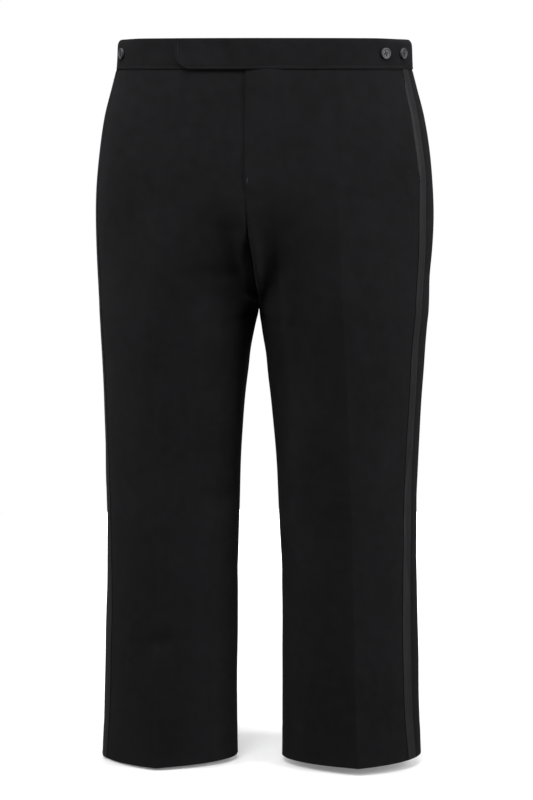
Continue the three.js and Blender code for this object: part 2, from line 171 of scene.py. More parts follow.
# Soft troughs, and ridges where the depth is below 0. side is 1 for the wearer's left; face says
# which way the cloth looks there; a and b are x, or y on a side face, at the heights za and zb;
# bow is how far the middle of the fold strays from the straight line.
FOLDS = table(
    "side face a za b zb width depth bow",
    (1, "front", 24.5, -222, 36, -520, 4, 2.0, -1),
    (-1, "front", 18, -296, 74, -299, 10, 2.2, 0),
    (-1, "front", 30, -338, 76, -342, 34, 5.5, 2),
    (-1, "front", 44, -372, 70, -560, 18, 1.6, 3),
    (-1, "front", 118, -788, 138, -776, 12, 2.5, 0),
    (-1, "front", 14, -246, 78, -240, 8, 0.7, 4),
    (-1, "front", 34, -588, 84, -612, 18, 3.0, 3),
    (-1, "front", 9, -205, 20, -330, 8, 0.6, 2),
    (1, "front", 14, -268, 19, -425, 8, -1.3, 0),
    (1, "front", 33, -390, 44, -520, 12, 3.0, 2),
    (1, "front", 40, -330, 66, -470, 14, 1.6, 5),
    (1, "front", 22, -296, 62, -288, 10, 0.9, 3),
    (-1, "front", 150, -180, 182, -330, 26, 1.3, 8),
    (1, "front", 150, -200, 176, -330, 26, 1.2, 8),
    (-1, "front", 96, -640, 122, -668, 20, 0.9, 3),
    (1, "front", 98, -600, 118, -632, 22, 0.9, 3),
    (1, "front", 150, -640, 176, -606, 22, 0.8, 4),
    (-1, "front", 152, -600, 180, -560, 22, 0.8, 4),
    (1, "back", 20, -255, 96, -292, 16, 2.6, 5),
    (-1, "back", 16, -262, 90, -300, 15, 2.9, 6),
    (1, "back", 24, -312, 104, -352, 18, 2.4, 4),
    (-1, "back", 26, -322, 112, -352, 17, 2.1, 6),
    (1, "back", 34, -352, 84, -430, 16, 1.8, 7),
    (-1, "back", 38, -360, 86, -448, 16, 2.0, -6),
    (1, "back", 86, -610, 158, -640, 26, 1.3, 5),
    (-1, "back", 82, -628, 154, -602, 24, 1.2, -5),
    (1, "back", 84, -880, 150, -862, 20, 0.9, 4),
    (-1, "back", 90, -842, 160, -866, 22, 1.0, 4),
    (1, "side", -60, -300, 70, -330, 24, 1.1, 7),
    (-1, "side", -50, -310, 76, -322, 22, 1.2, 6),
    (1, "side", -70, -620, 50, -588, 26, 0.9, 6),
    (-1, "side", -66, -596, 48, -630, 26, 1.0, -6),
    (1, "side", -60, -186, -20, -196, 10, 1.0, 2),
    (1, "inner", -60, -400, 60, -440, 22, 1.2, 5),
    (-1, "inner", -62, -420, 58, -392, 22, 1.1, 5),
    (1, "inner", -66, -700, 40, -672, 24, 0.9, 4),
    (-1, "inner", -62, -684, 40, -716, 24, 0.9, 4),
)

STRETCHES = {"inner_front": 26, "outer_front": 26, "stripe": 6, "outer_back": 28, "inner_back": 28}

# How pressing, seams and what lies under the cloth show on its surface, in millimetres. A thing
# begins at the height "top", is there in full "over" lower, and fades in "fade" above "bottom". It
# stands out by "proud" or sinks in by "deep", and "wear" is how smooth an edge is rubbed, to 1.
CREASE_SPREAD = 16.0
PRESSED = {
    "front": {"top": -120, "over": 200, "proud": 2.7, "width": 13.0, "wear": 0.8},
    "back": {"top": -330, "over": 160, "proud": 1.1, "width": 12.0, "wear": 0.5},
}
OUTSEAM_DIP = {"deep": 0.55, "width": 2.4}
CENTRE_DIP = {"deep": 0.7, "over": 30, "width": 3.0, "above_fly": 0.6}
WAIST_DIP = {"z": -39.3, "deep": 0.7, "width": 3.0}
TUCKED = {"bottom": -39.6, "fade": 2.4, "deep": 1.25}
LEFT_OVER_RIGHT = {"top": FLY["end"] + 4, "over": 16, "bottom": -343, "fade": 26, "deep": 1.6, "width": 2.0}
VALLEY = {"top": -232, "over": 50, "bottom": -350, "fade": 28, "deep": 17.0, "narrow": 1.5, "wide": 9.5}
FACING = {
    "top": -70, "over": 60, "bottom": -212, "width": 36, "bend": -150, "round": 60, "deep": 0.95, "edge": 2.6,
}
POCKET_LIP = {"off": 4.5, "width": 3.6, "proud": 1.5, "fade": 8}
POCKET_GROOVE = {"off": 0.2, "width": 1.5, "deep": 1.5}
TURN_UP = {"height": 42, "over": 5, "proud": 0.25, "edge": 0.2, "edge_height": 2.5}
HEM_ROUND = 1.6

# Neighbouring pieces run this far into each other at a seam, so that no light comes through, and the
# right front runs on further under the left one.
SEAM_LAP = 0.15
FRONT_LAP = 0.5
# How far beside a seam the cloth follows, where one panel's edge is drawn to the other's.
DRAWN = {"front": 1.5, "back": 6.0, "inseam": 8.0, "rest": 4.0}

# The waistband's make: its rounded edges, its edge stitching above the waist seam, its top edge
# rolled in at the sides, and how the tab swells where it lies on the right half's end.
BAND_EDGE = (0, 0.12, 0.4, 0.9, 1.6)
BAND_ROUND = 1.5
STITCH_LINE = 3.9
STITCH_GROOVE = {"deep": 0.5, "width": 0.7}
BAND_ROLL = {"start": 146, "over": 42, "dip": 0.9, "height": 8.0, "inward": 5.5}
TAB_SWELL = {"start": -8, "over": 20, "top": 12, "height": 26, "proud": 1.4}
TAB_STITCH = 4.2
FLY_TACK = -178

# The ribbon's cross section: a flat wall, a low crown and its woven edges.
RIBBON = {"wall": 0.75, "crown": 0.18, "selvedge": 0.10, "selvedge_off": 1.6, "selvedge_width": 0.8}

BUTTON_PLACES = (("button_left_front", 1, 160.0), ("button_left_side", 1, 180.5), ("button_right", -1, 177.5))
BUTTON = {
    "z": -19.0, "thick": 3.0, "off_band": 0.6, "rim": 1.4, "slope": 0.7, "dish": 0.9, "floor": 0.6,
    "bevel": 0.42, "hole": 1.0, "spread": 1.9, "turned": 0.25,
}
TIE = {"radius": 0.26, "apart": 0.32, "lift": 2.55}


class TrousersSettings(bpy.types.PropertyGroup):
    """Sizes and colours of the cloth, its trimmings and its sewing."""

    cloth: FloatProperty(
        name="Cloth", description="Thickness of a panel's wall", default=0.0015, min=0.0008, max=0.003,
        unit="LENGTH",
    )
    band_cloth: FloatProperty(
        name="Waistband", description="Thickness of the waistband", default=0.0022, min=0.001, max=0.004,
        unit="LENGTH",
    )
    ribbon: FloatProperty(
        name="Ribbon", description="Thickness of the side stripe", default=0.0008, min=0.0003, max=0.002,
        unit="LENGTH",
    )
    seam_gap: FloatProperty(
        name="Seam gap", description="Room between neighbouring pieces", default=0.0003, min=0.0001, max=0.001,
        unit="LENGTH",
    )
    twill: FloatProperty(
        name="Twill", description="Distance between two lines of the weave", default=0.0011, min=0.0004,
        max=0.004, unit="LENGTH",
    )
    stitch: FloatProperty(
        name="Stitch", description="Length of one stitch of the edge stitching", default=0.0026, min=0.0015,
        max=0.005, unit="LENGTH",
    )
    button_radius: FloatProperty(
        name="Button radius", description="Half the width of a button", default=0.007, min=0.004, max=0.012,
        unit="LENGTH",
    )
    wool_colour: FloatVectorProperty(
        name="Wool", description="Colour of the cloth", default=(0.0054, 0.0054, 0.0061), subtype="COLOR",
        min=0, max=1,
    )
    satin_colour: FloatVectorProperty(
        name="Satin", description="Colour of the ribbon", default=(0.0098, 0.0098, 0.0107), subtype="COLOR",
        min=0, max=1,
    )
    button_colour: FloatVectorProperty(
        name="Button", description="Colour of the buttons", default=(0.041, 0.041, 0.044), subtype="COLOR",
        min=0, max=1,
    )
    thread_colour: FloatVectorProperty(
        name="Thread", description="Colour of the sewing thread", default=(0.007, 0.007, 0.0077),
        subtype="COLOR", min=0, max=1,
    )


class StudioSettings(bpy.types.PropertyGroup):
    """The floor, the soft lights and the camera."""

    camera_distance: FloatProperty(
        name="Camera distance", description="From the origin to the camera", default=3.3, min=1, max=10,
        unit="LENGTH",
    )
    camera_height: FloatProperty(
        name="Camera height", description="How far the camera is above the waistband's top", default=-0.039,
        unit="LENGTH",
    )
    camera_aside: FloatProperty(
        name="Camera aside", description="How far the camera stands to its right of the line to the origin",
        default=0.00273, unit="LENGTH",
    )
    camera_turn: FloatProperty(
        name="Camera turn", description="How far the camera stands to the wearer's left",
        default=math.radians(6), subtype="ANGLE",
    )
    camera_pitch: FloatProperty(
        name="Camera pitch", description="How far the camera looks down", default=math.radians(7.484),
        subtype="ANGLE",
    )
    lens: FloatProperty(name="Lens", description="Focal length in millimetres", default=113.27, min=20, max=300)
    left_power: FloatProperty(
        name="Left light", description="Power of the light beside the wearer's right leg", default=68,
        subtype="POWER",
    )
    right_power: FloatProperty(
        name="Right light", description="Power of the light beside the wearer's left leg", default=98,
        subtype="POWER",
    )
    top_power: FloatProperty(
        name="Top light", description="Power of the light overhead", default=44, subtype="POWER"
    )
    front_power: FloatProperty(
        name="Key light", description="Power of the light high in front", default=78, subtype="POWER"
    )
    back_power: FloatProperty(
        name="Back lights", description="Power of each light behind", default=110, subtype="POWER"
    )
    sky: FloatProperty(name="Sky", description="Strength of the pale surroundings", default=0.1, min=0, max=3)
    floor_colour: FloatVectorProperty(
        name="Floor", description="Colour of the floor", default=(0.62, 0.62, 0.62), subtype="COLOR",
        min=0, max=1,
    )
    floor_radius: FloatProperty(
        name="Floor radius", description="Half the width of the round floor", default=1.9, min=1, max=20,
        unit="LENGTH",
    )
    floor_glow: FloatProperty(
        name="Floor glow", description="Light that the floor gives off itself", default=0.12, min=0, max=2
    )


# Section curves, in millimetres.


def smooth(value):
    """A soft step from 0 to 1."""
    t = np.clip(value, 0.0, 1.0)
    return t * t * (3 - 2 * t)


def mix(a, b, t):
    """From a to b by the share t."""
    return a + (b - a) * t


def at(rows, column, z):
    """A column of a table at height z, as a smooth curve through its rows."""
    heights, values = rows["z"], rows[column]
    last = len(heights) - 1
    if z >= heights[0]:
        return values[0]
    if z <= heights[last]:
        return values[last]
    i = 0
    while z < heights[i + 1]:
        i += 1

    def slope(j):
        a, b = max(0, j - 1), min(last, j + 1)
        return (values[b] - values[a]) / (heights[b] - heights[a])

    h = heights[i + 1] - heights[i]
    t = (z - heights[i]) / h
    return (
        (2 * t**3 - 3 * t**2 + 1) * values[i]
        + (t**3 - 2 * t**2 + t) * h * slope(i)
        + (3 * t**2 - 2 * t**3) * values[i + 1]
        + (t**3 - t**2) * h * slope(i + 1)
    )


def quarter(centre, reach, depth, round_crease, round_side, steps=90):
    """A quarter of a superellipse, from the crease or centre line round to the side."""
    a = np.linspace(0, math.pi / 2, steps + 1)
    x = centre[0] + reach * np.sin(a) ** (2 / round_crease)
    y = centre[1] + depth * np.abs(np.cos(a)) ** (2 / round_side)
    return np.column_stack((x, y))


def run_of(line):
    """Length along a polyline, at each of its points."""
    return np.concatenate(([0.0], np.cumsum(np.hypot(*np.diff(line, axis=0).T))))


def resample(line, shares):
    """Points of a polyline at shares of its length."""
    run = run_of(line)
    want = shares * run[-1]
    return np.column_stack((np.interp(want, run, line[:, 0]), np.interp(want, run, line[:, 1])))


def cut(line, is_past):
    """The first place of a polyline where a test turns true, as an index and a point."""
    for i in range(1, len(line)):
        if is_past(line[i]):
            low, high = 0.0, 1.0
            for _ in range(26):
                middle = (low + high) / 2
                if is_past(mix(line[i - 1], line[i], middle)):
                    high = middle
                else:
                    low = middle
            return i, mix(line[i - 1], line[i], high)
    return len(line) - 1, line[-1]


def part(line, start, end):
    """The stretch of a polyline between two tests; None keeps that end."""
    i, first = cut(line, start) if start else (1, line[0])
    j, final = cut(line, end) if end else (len(line) - 1, line[-1])
    return np.vstack((first, line[i:j], final))


def shares_of(name):
    """Where a stretch has its points: closer together at both seams."""
    t = np.linspace(0, 1, STRETCHES[name] + 1)
    return t if name == "stripe" else 0.5 - 0.5 * np.cos(math.pi * t) * (0.72 + 0.28 * np.cos(math.pi * t) ** 2)


SHARES = {name: shares_of(name) for name in STRETCHES}


def stretches(line, crease_x, seam_y, back_x):
    """Cuts a section at the front crease, the stripe's front edge, the outseam and the back crease."""
    rest = part(line, lambda p: p[0] >= crease_x - 1e-6, None)

    def past_seam(p):
        return p[0] > crease_x and p[1] >= seam_y

    to_seam = part(rest, None, past_seam)
    after = part(rest, past_seam, None)
    edge = 1 - STRIPE_WIDTH / run_of(to_seam)[-1]
    return [
        resample(part(line, None, lambda p: p[0] >= crease_x - 1e-6), SHARES["inner_front"]),
        resample(to_seam, SHARES["outer_front"] * edge),
        resample(to_seam, edge + SHARES["stripe"] * (1 - edge)),
        resample(part(after, None, lambda p: p[0] <= back_x + 1e-6), SHARES["outer_back"]),
        resample(part(after, lambda p: p[0] <= back_x + 1e-6, None), SHARES["inner_back"]),
    ]


def underlap(z):
    """How far the right front runs on under the left one."""
    t = min(1.0, max(0.0, (UNDERLAP["bottom"] + UNDERLAP["round"] - z) / UNDERLAP["round"]))
    return UNDERLAP["width"] * math.sqrt(1 - t * t)


def seat_section(z, side, crease_x):
    """One side's seat section, from the front seam round to the back seam."""
    width, y, square = at(BODY, "width", z), at(BODY, "y", z), at(BODY, "square", z)
    front = quarter((0, y), width, -at(BODY, "front", z) - y, square, square)
    back = quarter((0, y), width, at(BODY, "back", z) - y, square, square)
    turn = side * at(BODY, "turn", z)
    start = -turn - underlap(z) if side < 0 else -turn
    # Both centre seams can lie across the middle, so each curve starts a little beyond it.
    beyond_front, beyond_back = (line[1:36] * (-1, 1) for line in (front, back))
    loop = np.vstack((beyond_front[::-1], front, back[::-1][1:], beyond_back))
    whole = part(loop, lambda p: p[0] >= start, lambda p: p[1] > y and p[0] <= turn)
    return stretches(whole, crease_x, -at(OUTSEAM, "forward", z) - turn, at(CREASE, "back", z))


def leg_section(z, side, crease_x):
    """One side's leg section, from the inseam round by the front, the outseam and the back."""
    outer = at(LEG_WIDTH, "outer", z) + side * at(LEG_WIDTH, "lean", z)
    middle = at(LEG_WIDTH, "middle", z)
    inner = at(LEG_WIDTH, "inner", z) + side * middle
    front, back = at(LEG_DEPTH, "front", z), at(LEG_DEPTH, "back", z)
    y, inseam, round_ = at(LEG_DEPTH, "side", z), at(LEG_DEPTH, "inseam", z), at(LEG_DEPTH, "round", z)
    back_x = at(CREASE, "back", z)
    loop = np.vstack((
        quarter((crease_x, inseam), inner - crease_x, -front - inseam, round_, FLANK)[::-1],
        quarter((crease_x, y), outer - crease_x, -front - y, round_, FLANK)[1:],
        quarter((back_x, y), outer - back_x, back - y, round_, FLANK)[::-1][1:],
        quarter((back_x, inseam), inner - back_x, back - inseam, round_, FLANK)[1:],
    ))
    turn = side * min(at(BODY, "turn", z), -middle)
    return stretches(loop, crease_x, -at(OUTSEAM, "forward", z) - turn, back_x)


def leg_share(z, inwards):
    """How much of a section is leg: late and fast at the centre seams, ending lower away from them."""
    over = CREASE_TOP - CROTCH + BLEND_BELOW * (1 - inwards) ** 1.5
    s = np.clip((CREASE_TOP - z) / over, 0, 1)
    seam = 1 - (1 - s**CROTCH_ROUND) ** (1 / CROTCH_ROUND)
    return mix(smooth(s), seam, smooth(inwards**3.2))


def section(side, z):
    """One side's row of points at height z, in x, y and z."""
    crease_x = at(CREASE, "left" if side > 0 else "right", z)
    leg = leg_section(z, side, crease_x) if z < CREASE_TOP else None
    seat = seat_section(z, side, crease_x) if z > CROTCH - BLEND_BELOW else None
    line = []
    for k, name in enumerate(STRETCHES):
        shares = SHARES[name]
        inwards = 1 - shares if k == 0 else shares if k == 4 else np.zeros_like(shares)
        share = leg_share(z, inwards)[:, None]
        a = seat[k] if seat else leg[k]
        b = leg[k] if leg else a
        points = mix(a, b, share)
        if k in (0, 4):
            aside = at(CENTRE, "front" if k == 0 else "back", z)
            points[:, 0] += side * aside * smooth((inwards - 0.35) / 0.65)
        line.append(points[0 if k == 0 else 1:])
    flat = np.vstack(line)
    x = side * flat[:, 0]
    rise = HEM_RISE["share"] * smooth((HEM_RISE["from"] - z) / HEM_RISE["over"])
    return np.column_stack((x, flat[:, 1], z + rise * x))


def row_heights():
    """Heights of the rows: close at the waist seam, round the crotch and at the hem."""
    allowance = np.array([-32.0, -35.5, -37.2, -38.2, -38.8])
    hip = -39.3 + (CREASE_TOP + 39.3) * np.linspace(0, 1, 46) ** 1.25
    angles = np.linspace(0, math.pi / 2, 61)[1:]
    crotch = CREASE_TOP + (CROTCH - CREASE_TOP) * np.sin(angles)
    leg = CROTCH + (HEM + 3 - CROTCH) * np.linspace(0, 1, 151)[1:] ** 1.12
    return np.concatenate((allowance, hip, crotch, leg, HEM + np.array([1.6, 0.7, 0.2, 0.0])))


def outward(grid, side, heights):
    """Outward directions of a side's grid. Below the crotch the two ends of a row meet."""
    closed = heights <= CROTCH
    before = np.concatenate((grid[:, :1], grid[:, :-1]), axis=1)
    after = np.concatenate((grid[:, 1:], grid[:, -1:]), axis=1)
    before[closed, 0] = grid[closed, -2]
    after[closed, -1] = grid[closed, 1]
    above = np.concatenate((grid[:1], grid[:-1]))
    below = np.concatenate((grid[1:], grid[-1:]))
    out = np.cross(after - before, below - above) * -side
    out /= np.linalg.norm(out, axis=2, keepdims=True) + 1e-12
    for column in (0, -1):
        x = out[~closed, column, 0]
        out[~closed, column, 0] = side * np.minimum(0, side * x)
    return out / (np.linalg.norm(out, axis=2, keepdims=True) + 1e-12)


def level_outward(grid, side, heights):
    """Outward directions of each row in its own level, which turn smoothly through the crotch."""
    before = np.concatenate((grid[:, :1], grid[:, :-1]), axis=1)
    after = np.concatenate((grid[:, 1:], grid[:, -1:]), axis=1)
    closed = heights <= CROTCH
    before[closed, 0] = grid[closed, -2]
    after[closed, -1] = grid[closed, 1]
    along = after - before
    out = np.stack((along[..., 1] * side, -along[..., 0] * side, np.zeros(along.shape[:2])), axis=-1)
    for column in (0, -1):
        x = out[~closed, column, 0]
        out[~closed, column, 0] = side * np.minimum(0, side * x)
    return out / (np.linalg.norm(out, axis=2, keepdims=True) + 1e-12)


def fold_depth(side, points, out):
    """How far the folds take each point inwards."""
    depth = np.zeros(points.shape[:2])
    x, y, z = side * points[..., 0], points[..., 1], points[..., 2]
    faces = {
        "front": (x, smooth((-out[..., 1] + 0.1) / 0.5)),
        "back": (x, smooth((out[..., 1] + 0.1) / 0.5)),
        "side": (y, smooth((side * out[..., 0] - 0.1) / 0.5)),
        "inner": (y, smooth((-side * out[..., 0] - 0.1) / 0.5)),
    }
    for i, face in enumerate(FOLDS["face"]):
        if FOLDS["side"][i] != side:
            continue
        across, seen = faces[face]
        a, za = FOLDS["a"][i], FOLDS["za"][i]
        da, dz = FOLDS["b"][i] - a, FOLDS["zb"][i] - za
        length = math.hypot(da, dz)
        t = ((across - a) * da + (z - za) * dz) / length**2
        bow = FOLDS["bow"][i] * np.sin(math.pi * np.clip(t, 0, 1))
        k = np.clip(t, 0, 1)
        off_line = ((across - a) * -dz + (z - za) * da) / length - bow
        past = (t - k) * length
        off = np.hypot(off_line, past) / (FOLDS["width"][i] * (0.8 + 0.35 * k))
        fade = np.sin(math.pi * np.clip(0.12 + 0.76 * t, 0, 1))
        depth += FOLDS["depth"][i] * fade * np.exp(-(off**2)) * seen
    return depth


def ripple(points, side):
    """The slow unevenness of steamed cloth."""
    x, y, z = points[..., 0], points[..., 1], points[..., 2]
    phase = 1.7 * side
    return (
        0.28 * np.sin(z / 47 + x / 61 + phase)
        + 0.22 * np.sin(z / 29 - y / 37 + 2.1 * phase)
        + 0.12 * np.sin(z / 15 + (x - y) / 23 + phase)
    )


def bell(distance, width):
    """1 on a line, falling softly to 0 on both sides."""
    return np.exp(-((distance / width) ** 2))


def below(heights, top, over):
    """0 above a height, and 1 from some way below it."""
    return smooth((top - heights) / over)


def above(heights, bottom, fade):
    """0 below a height, and 1 from some way above it."""
    return smooth((heights - bottom) / fade)


def between(heights, feature):
    """1 over the height of a feature of the cloth, fading at both its ends."""
    return below(heights, feature["top"], feature["over"]) * above(heights, feature["bottom"], feature["fade"])


class Side:
    """The finished outer grid of one side, in millimetres, with directions and cloth coordinates."""

    def __init__(self, side):
        self.side = side
        self.heights = row_heights()
        self.level = self.heights[:, None]
        ends = np.cumsum(tuple(STRETCHES.values())).tolist()
        self.crease, self.ribbon, self.outseam, self.back_crease, self.last = ends
        flat = np.stack([section(side, z) for z in self.heights])
        steps = np.linalg.norm(np.diff(flat[..., :2], axis=1), axis=2)
        run = np.concatenate((np.zeros((len(flat), 1)), np.cumsum(steps, axis=1)), axis=1)
        self.run = run - run[:, [self.crease]]
        # How far each point is from the first and the last edge of its row.
        self.first, self.final = run, run[:, -1:] - run
        out = level_outward(flat, side, self.heights)
        move = self.pressing(flat) + self.seams(flat) + self.trimmings() + self.wrinkles(flat, out)
        move = move + (self.fly(flat) if side > 0 else self.under_the_left_front())
        self.sew(flat, out, move)
        self.out = outward(self.grid, side, self.heights)
        self.wear = self.rubbed()

    def off(self, column):
        """Distance along each row from a column, positive towards the back."""
        return self.run - self.run[:, [column]]

    def up_to(self, column):
        """Which columns lie in front of one, with that one."""
        return (np.arange(self.last + 1) <= column)[None, :]

    def pressed_edges(self):
        """The sizes of each pressed edge, with every point's distance from it."""
        return (PRESSED["front"], np.abs(self.run)), (PRESSED["back"], np.abs(self.off(self.back_crease)))

    def pocket_mouth(self):
        """1 over the height of the pocket mouth."""
        return below(self.level, POCKET["top"], POCKET_LIP["fade"]) * above(
            self.level, POCKET["bottom"], POCKET_LIP["fade"]
        )

    def pressing(self, flat):
        """The front creases stand out broadly, and all creases at their pressed edge, which fades upwards."""
        ridge = np.array([at(CREASE, "ridge", h) for h in self.heights])[:, None]
        broad = ridge * bell(flat[..., 0] - flat[:, [self.crease], 0], CREASE_SPREAD)
        move = np.where(self.up_to(self.outseam), broad, 0)
        for edge, away in self.pressed_edges():
            shows = below(self.level, edge["top"], edge["over"])
            move = move + edge["proud"] * shows * np.exp(-away / edge["width"])
        return move

    def seams(self, flat):
        """Seams draw the cloth in a little beside the stitches, and the top goes in under the waistband."""
        width = CENTRE_DIP["width"]
        lower = below(self.level, FLY["end"], CENTRE_DIP["over"])
        move = -OUTSEAM_DIP["deep"] * bell(self.off(self.outseam), OUTSEAM_DIP["width"])
        move = move - CENTRE_DIP["deep"] * lower * (bell(self.first, width) + bell(self.final, width))
        move = move - CENTRE_DIP["above_fly"] * (1 - lower) * bell(self.final, width)
        move = move - WAIST_DIP["deep"] * bell(WAIST_DIP["z"] - flat[..., 2], WAIST_DIP["width"])
        return move - TUCKED["deep"] * above(self.level, TUCKED["bottom"], TUCKED["fade"])

    def trimmings(self):
        """The pocket's cut edge stands up along the ribbon, and the turned-up hem's edge shows through."""
        off = self.off(self.ribbon)
        lip = POCKET_LIP["proud"] * bell(off + POCKET_LIP["off"], POCKET_LIP["width"])
        groove = POCKET_GROOVE["deep"] * bell(off + POCKET_GROOVE["off"], POCKET_GROOVE["width"])
        step = TURN_UP["proud"] * below(self.level, HEM + TURN_UP["height"], TURN_UP["over"])
        edge = TURN_UP["edge"] * bell(self.level - HEM, TURN_UP["edge_height"])
        return self.pocket_mouth() * (lip - groove) + step + edge

    def wrinkles(self, flat, out):
        """The folds, which end before the ribbon's sewn edge, and the cloth's unevenness below the waist."""
        columns = np.arange(self.last + 1)
        sewn = np.where(self.up_to(self.outseam), smooth((self.outseam - columns) / 8.0), 1)
        return ripple(flat, self.side) * below(self.level, -60, 60) - fold_depth(self.side, flat, out) * sewn

    def fly(self, flat):
        """The left front lies on the underlap, and its facing's turned edge shows through as a J."""
        across = 1 - smooth((flat[..., 0] - flat[:, :1, 0] - FLY["flat"]) / FLY["fade"])
        down = above(self.level, FLY["end"], FLY["bottom"] - FLY["end"])
        turned = np.clip(FACING["bend"] - self.level, 0, FACING["round"]) / FACING["round"]
        line = FACING["width"] * np.sqrt(np.clip(1 - turned**2, 0, 1))
        shows = below(self.level, FACING["top"], FACING["over"]) * (self.level > FACING["bottom"])
        imprint = FACING["deep"] * bell(self.first - line, FACING["edge"]) * shows
        return np.where(self.up_to(self.crease - 1), FLY["lift"] * across * down - imprint, 0)

    def under_the_left_front(self):
        """Below the fly the right front sinks under the left one's edge, deeper where that folds over it."""
        move = -LEFT_OVER_RIGHT["deep"] * between(self.level, LEFT_OVER_RIGHT) * bell(
            self.first, LEFT_OVER_RIGHT["width"]
        )
        share = between(self.level, VALLEY)
        wide = VALLEY["narrow"] + VALLEY["wide"] * share**1.5
        return move - VALLEY["deep"] * share * (1 - smooth((self.first - 0.5 * wide) / wide))

    def sew(self, flat, out, move):
        """Moves the cloth outwards by move, and brings the edges that are sewn together to one line."""
        closed = self.level <= CROTCH
        lower = below(self.level, FLY["end"], 25)
        if self.side > 0:
            # The left panels turn in at the centre seams to meet the right ones.
            right = side_of(-1)
            front_step = (right.front_move - move[:, 0])[:, None] * lower
            back_step = (right.back_move - move[:, -1])[:, None]
            step = front_step * bell(self.first, DRAWN["front"]) + back_step * bell(self.final, DRAWN["back"])
            move = move + np.where(closed, 0, step)
        inseam_step = (move[:, 0] - move[:, -1])[:, None]
        move = move + np.where(closed, inseam_step * bell(self.final, DRAWN["inseam"]), 0)
        self.front_move, self.back_move = move[:, 0], move[:, -1]
        self.grid = flat + out * move[..., None]
        if self.side > 0:
            # What is left between the edges: the left one is drawn in at the back, the right one in front.
            self.draw(-1, right.grid[:, -1], self.final, np.where(closed, 0, 1))
            right.draw(0, self.grid[:, 0], right.first, np.where(closed, 0, lower))
            right.out = outward(right.grid, -1, right.heights)

    def draw(self, column, line, distance, share):
        """Draws an edge to a line of points, and the cloth beside it along with it."""
        rest = (line - self.grid[:, column])[:, None]
        self.grid = self.grid + rest * (share * bell(distance, DRAWN["rest"]))[..., None]

    def rubbed(self):
        """Where the cloth is rubbed smooth: pressed edges, hem and pocket mouth."""
        wear = 0.7 * np.exp(-(self.level - HEM) / 3.0)
        wear = wear + 0.6 * self.pocket_mouth() * bell(self.off(self.ribbon) + 4, 3.0)
        for edge, away in self.pressed_edges():
            shows = below(self.level, edge["top"], edge["over"])
            wear = wear + edge["wear"] * shows * np.exp(-away / 3.0)
        return np.clip(wear, 0, 1)

    def columns(self, start, end):
        """Points, directions, cloth coordinates and wear of columns start to end, the edges let out to lap."""
        points = self.grid[:, start : end + 1].copy()
        under = FRONT_LAP if self.side < 0 and start == 0 else 0.0
        for edge, inner, lap in ((0, 1, under), (-1, -2, SEAM_LAP)):
            toward = points[:, inner] - points[:, edge]
            toward /= np.linalg.norm(toward, axis=1, keepdims=True)
            points[:, edge] -= toward * lap
        cloth = np.stack((self.run[:, start : end + 1], points[..., 2]), axis=2)
        return points, self.out[:, start : end + 1], cloth, self.wear[:, start : end + 1]


SIDES = {}


def side_of(side):
    """The grid of one side, made once."""
    if side not in SIDES:
        SIDES[side] = Side(side)
    return SIDES[side]


# Meshes.


def closed_wall(name, points, out, cloth, wear, outer, inner, flip):
    """A closed wall from a grid in millimetres, between two distances along its directions."""
    high, wide = points.shape[:2]
    layers = [points + out * np.broadcast_to(d, (high, wide))[..., None] for d in (outer, inner)]
    vertices = np.concatenate([layer.reshape(-1, 3) for layer in layers]) * MM
    index = np.arange(high * wide).reshape(high, wide)
    a, b = index[:-1, :-1].ravel(), index[1:, :-1].ravel()
    c, d = index[1:, 1:].ravel(), index[:-1, 1:].ravel()
    n = high * wide
    faces = [np.column_stack((a, b, c, d)), np.column_stack((a, d, c, b)) + n]
    for line, reverse in ((index[:, 0], False), (index[:, -1], True), (index[0], True), (index[-1], False)):
        p, q = line[:-1], line[1:]
        rim = np.column_stack((p, p + n, q + n, q))
        faces.append(rim[:, ::-1] if reverse else rim)
    faces = np.concatenate(faces)
    if flip:
        faces = faces[:, ::-1]
    mesh = bpy.data.meshes.new(name)
    mesh.from_pydata(vertices.tolist(), [], faces.tolist())
    both = np.tile(cloth.reshape(-1, 2) * MM, (2, 1))
    loops = np.empty(len(mesh.loops), dtype=np.int32)
    mesh.loops.foreach_get("vertex_index", loops)
    layer = mesh.uv_layers.new(name="cloth")
    layer.data.foreach_set("uv", both[loops].ravel())
    worn = mesh.attributes.new("wear", "FLOAT", "POINT")
    worn.data.foreach_set("value", np.tile(np.broadcast_to(wear, (high, wide)).ravel(), 2))
    mesh.polygons.foreach_set("use_smooth", np.ones(len(mesh.polygons), dtype=bool))
    rim_sets = {frozenset(pair) for line in (index[:, 0], index[:, -1], index[0], index[-1])
                for k in (0, n) for pair in zip((line[:-1] + k).tolist(), (line[1:] + k).tolist())}
    for edge in mesh.edges:
        if frozenset(edge.vertices) in rim_sets:
            edge.use_edge_sharp = True
    mesh.validate()
    piece = bpy.data.objects.new(name, mesh)
    bpy.context.collection.objects.link(piece)
    return piece


def deselect():
    """Leaves nothing selected, so that an operator acts on its own piece alone."""
    for other in bpy.context.selected_objects:
        other.select_set(False)


def dress(piece, material, slot, *nodes):
    """Gives a piece its material and its place in the part."""
    piece.data.materials.clear()
    piece.data.materials.append(material)
    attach(piece, "root")
    if nodes:
        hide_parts(*nodes)
    return piece


# Materials.


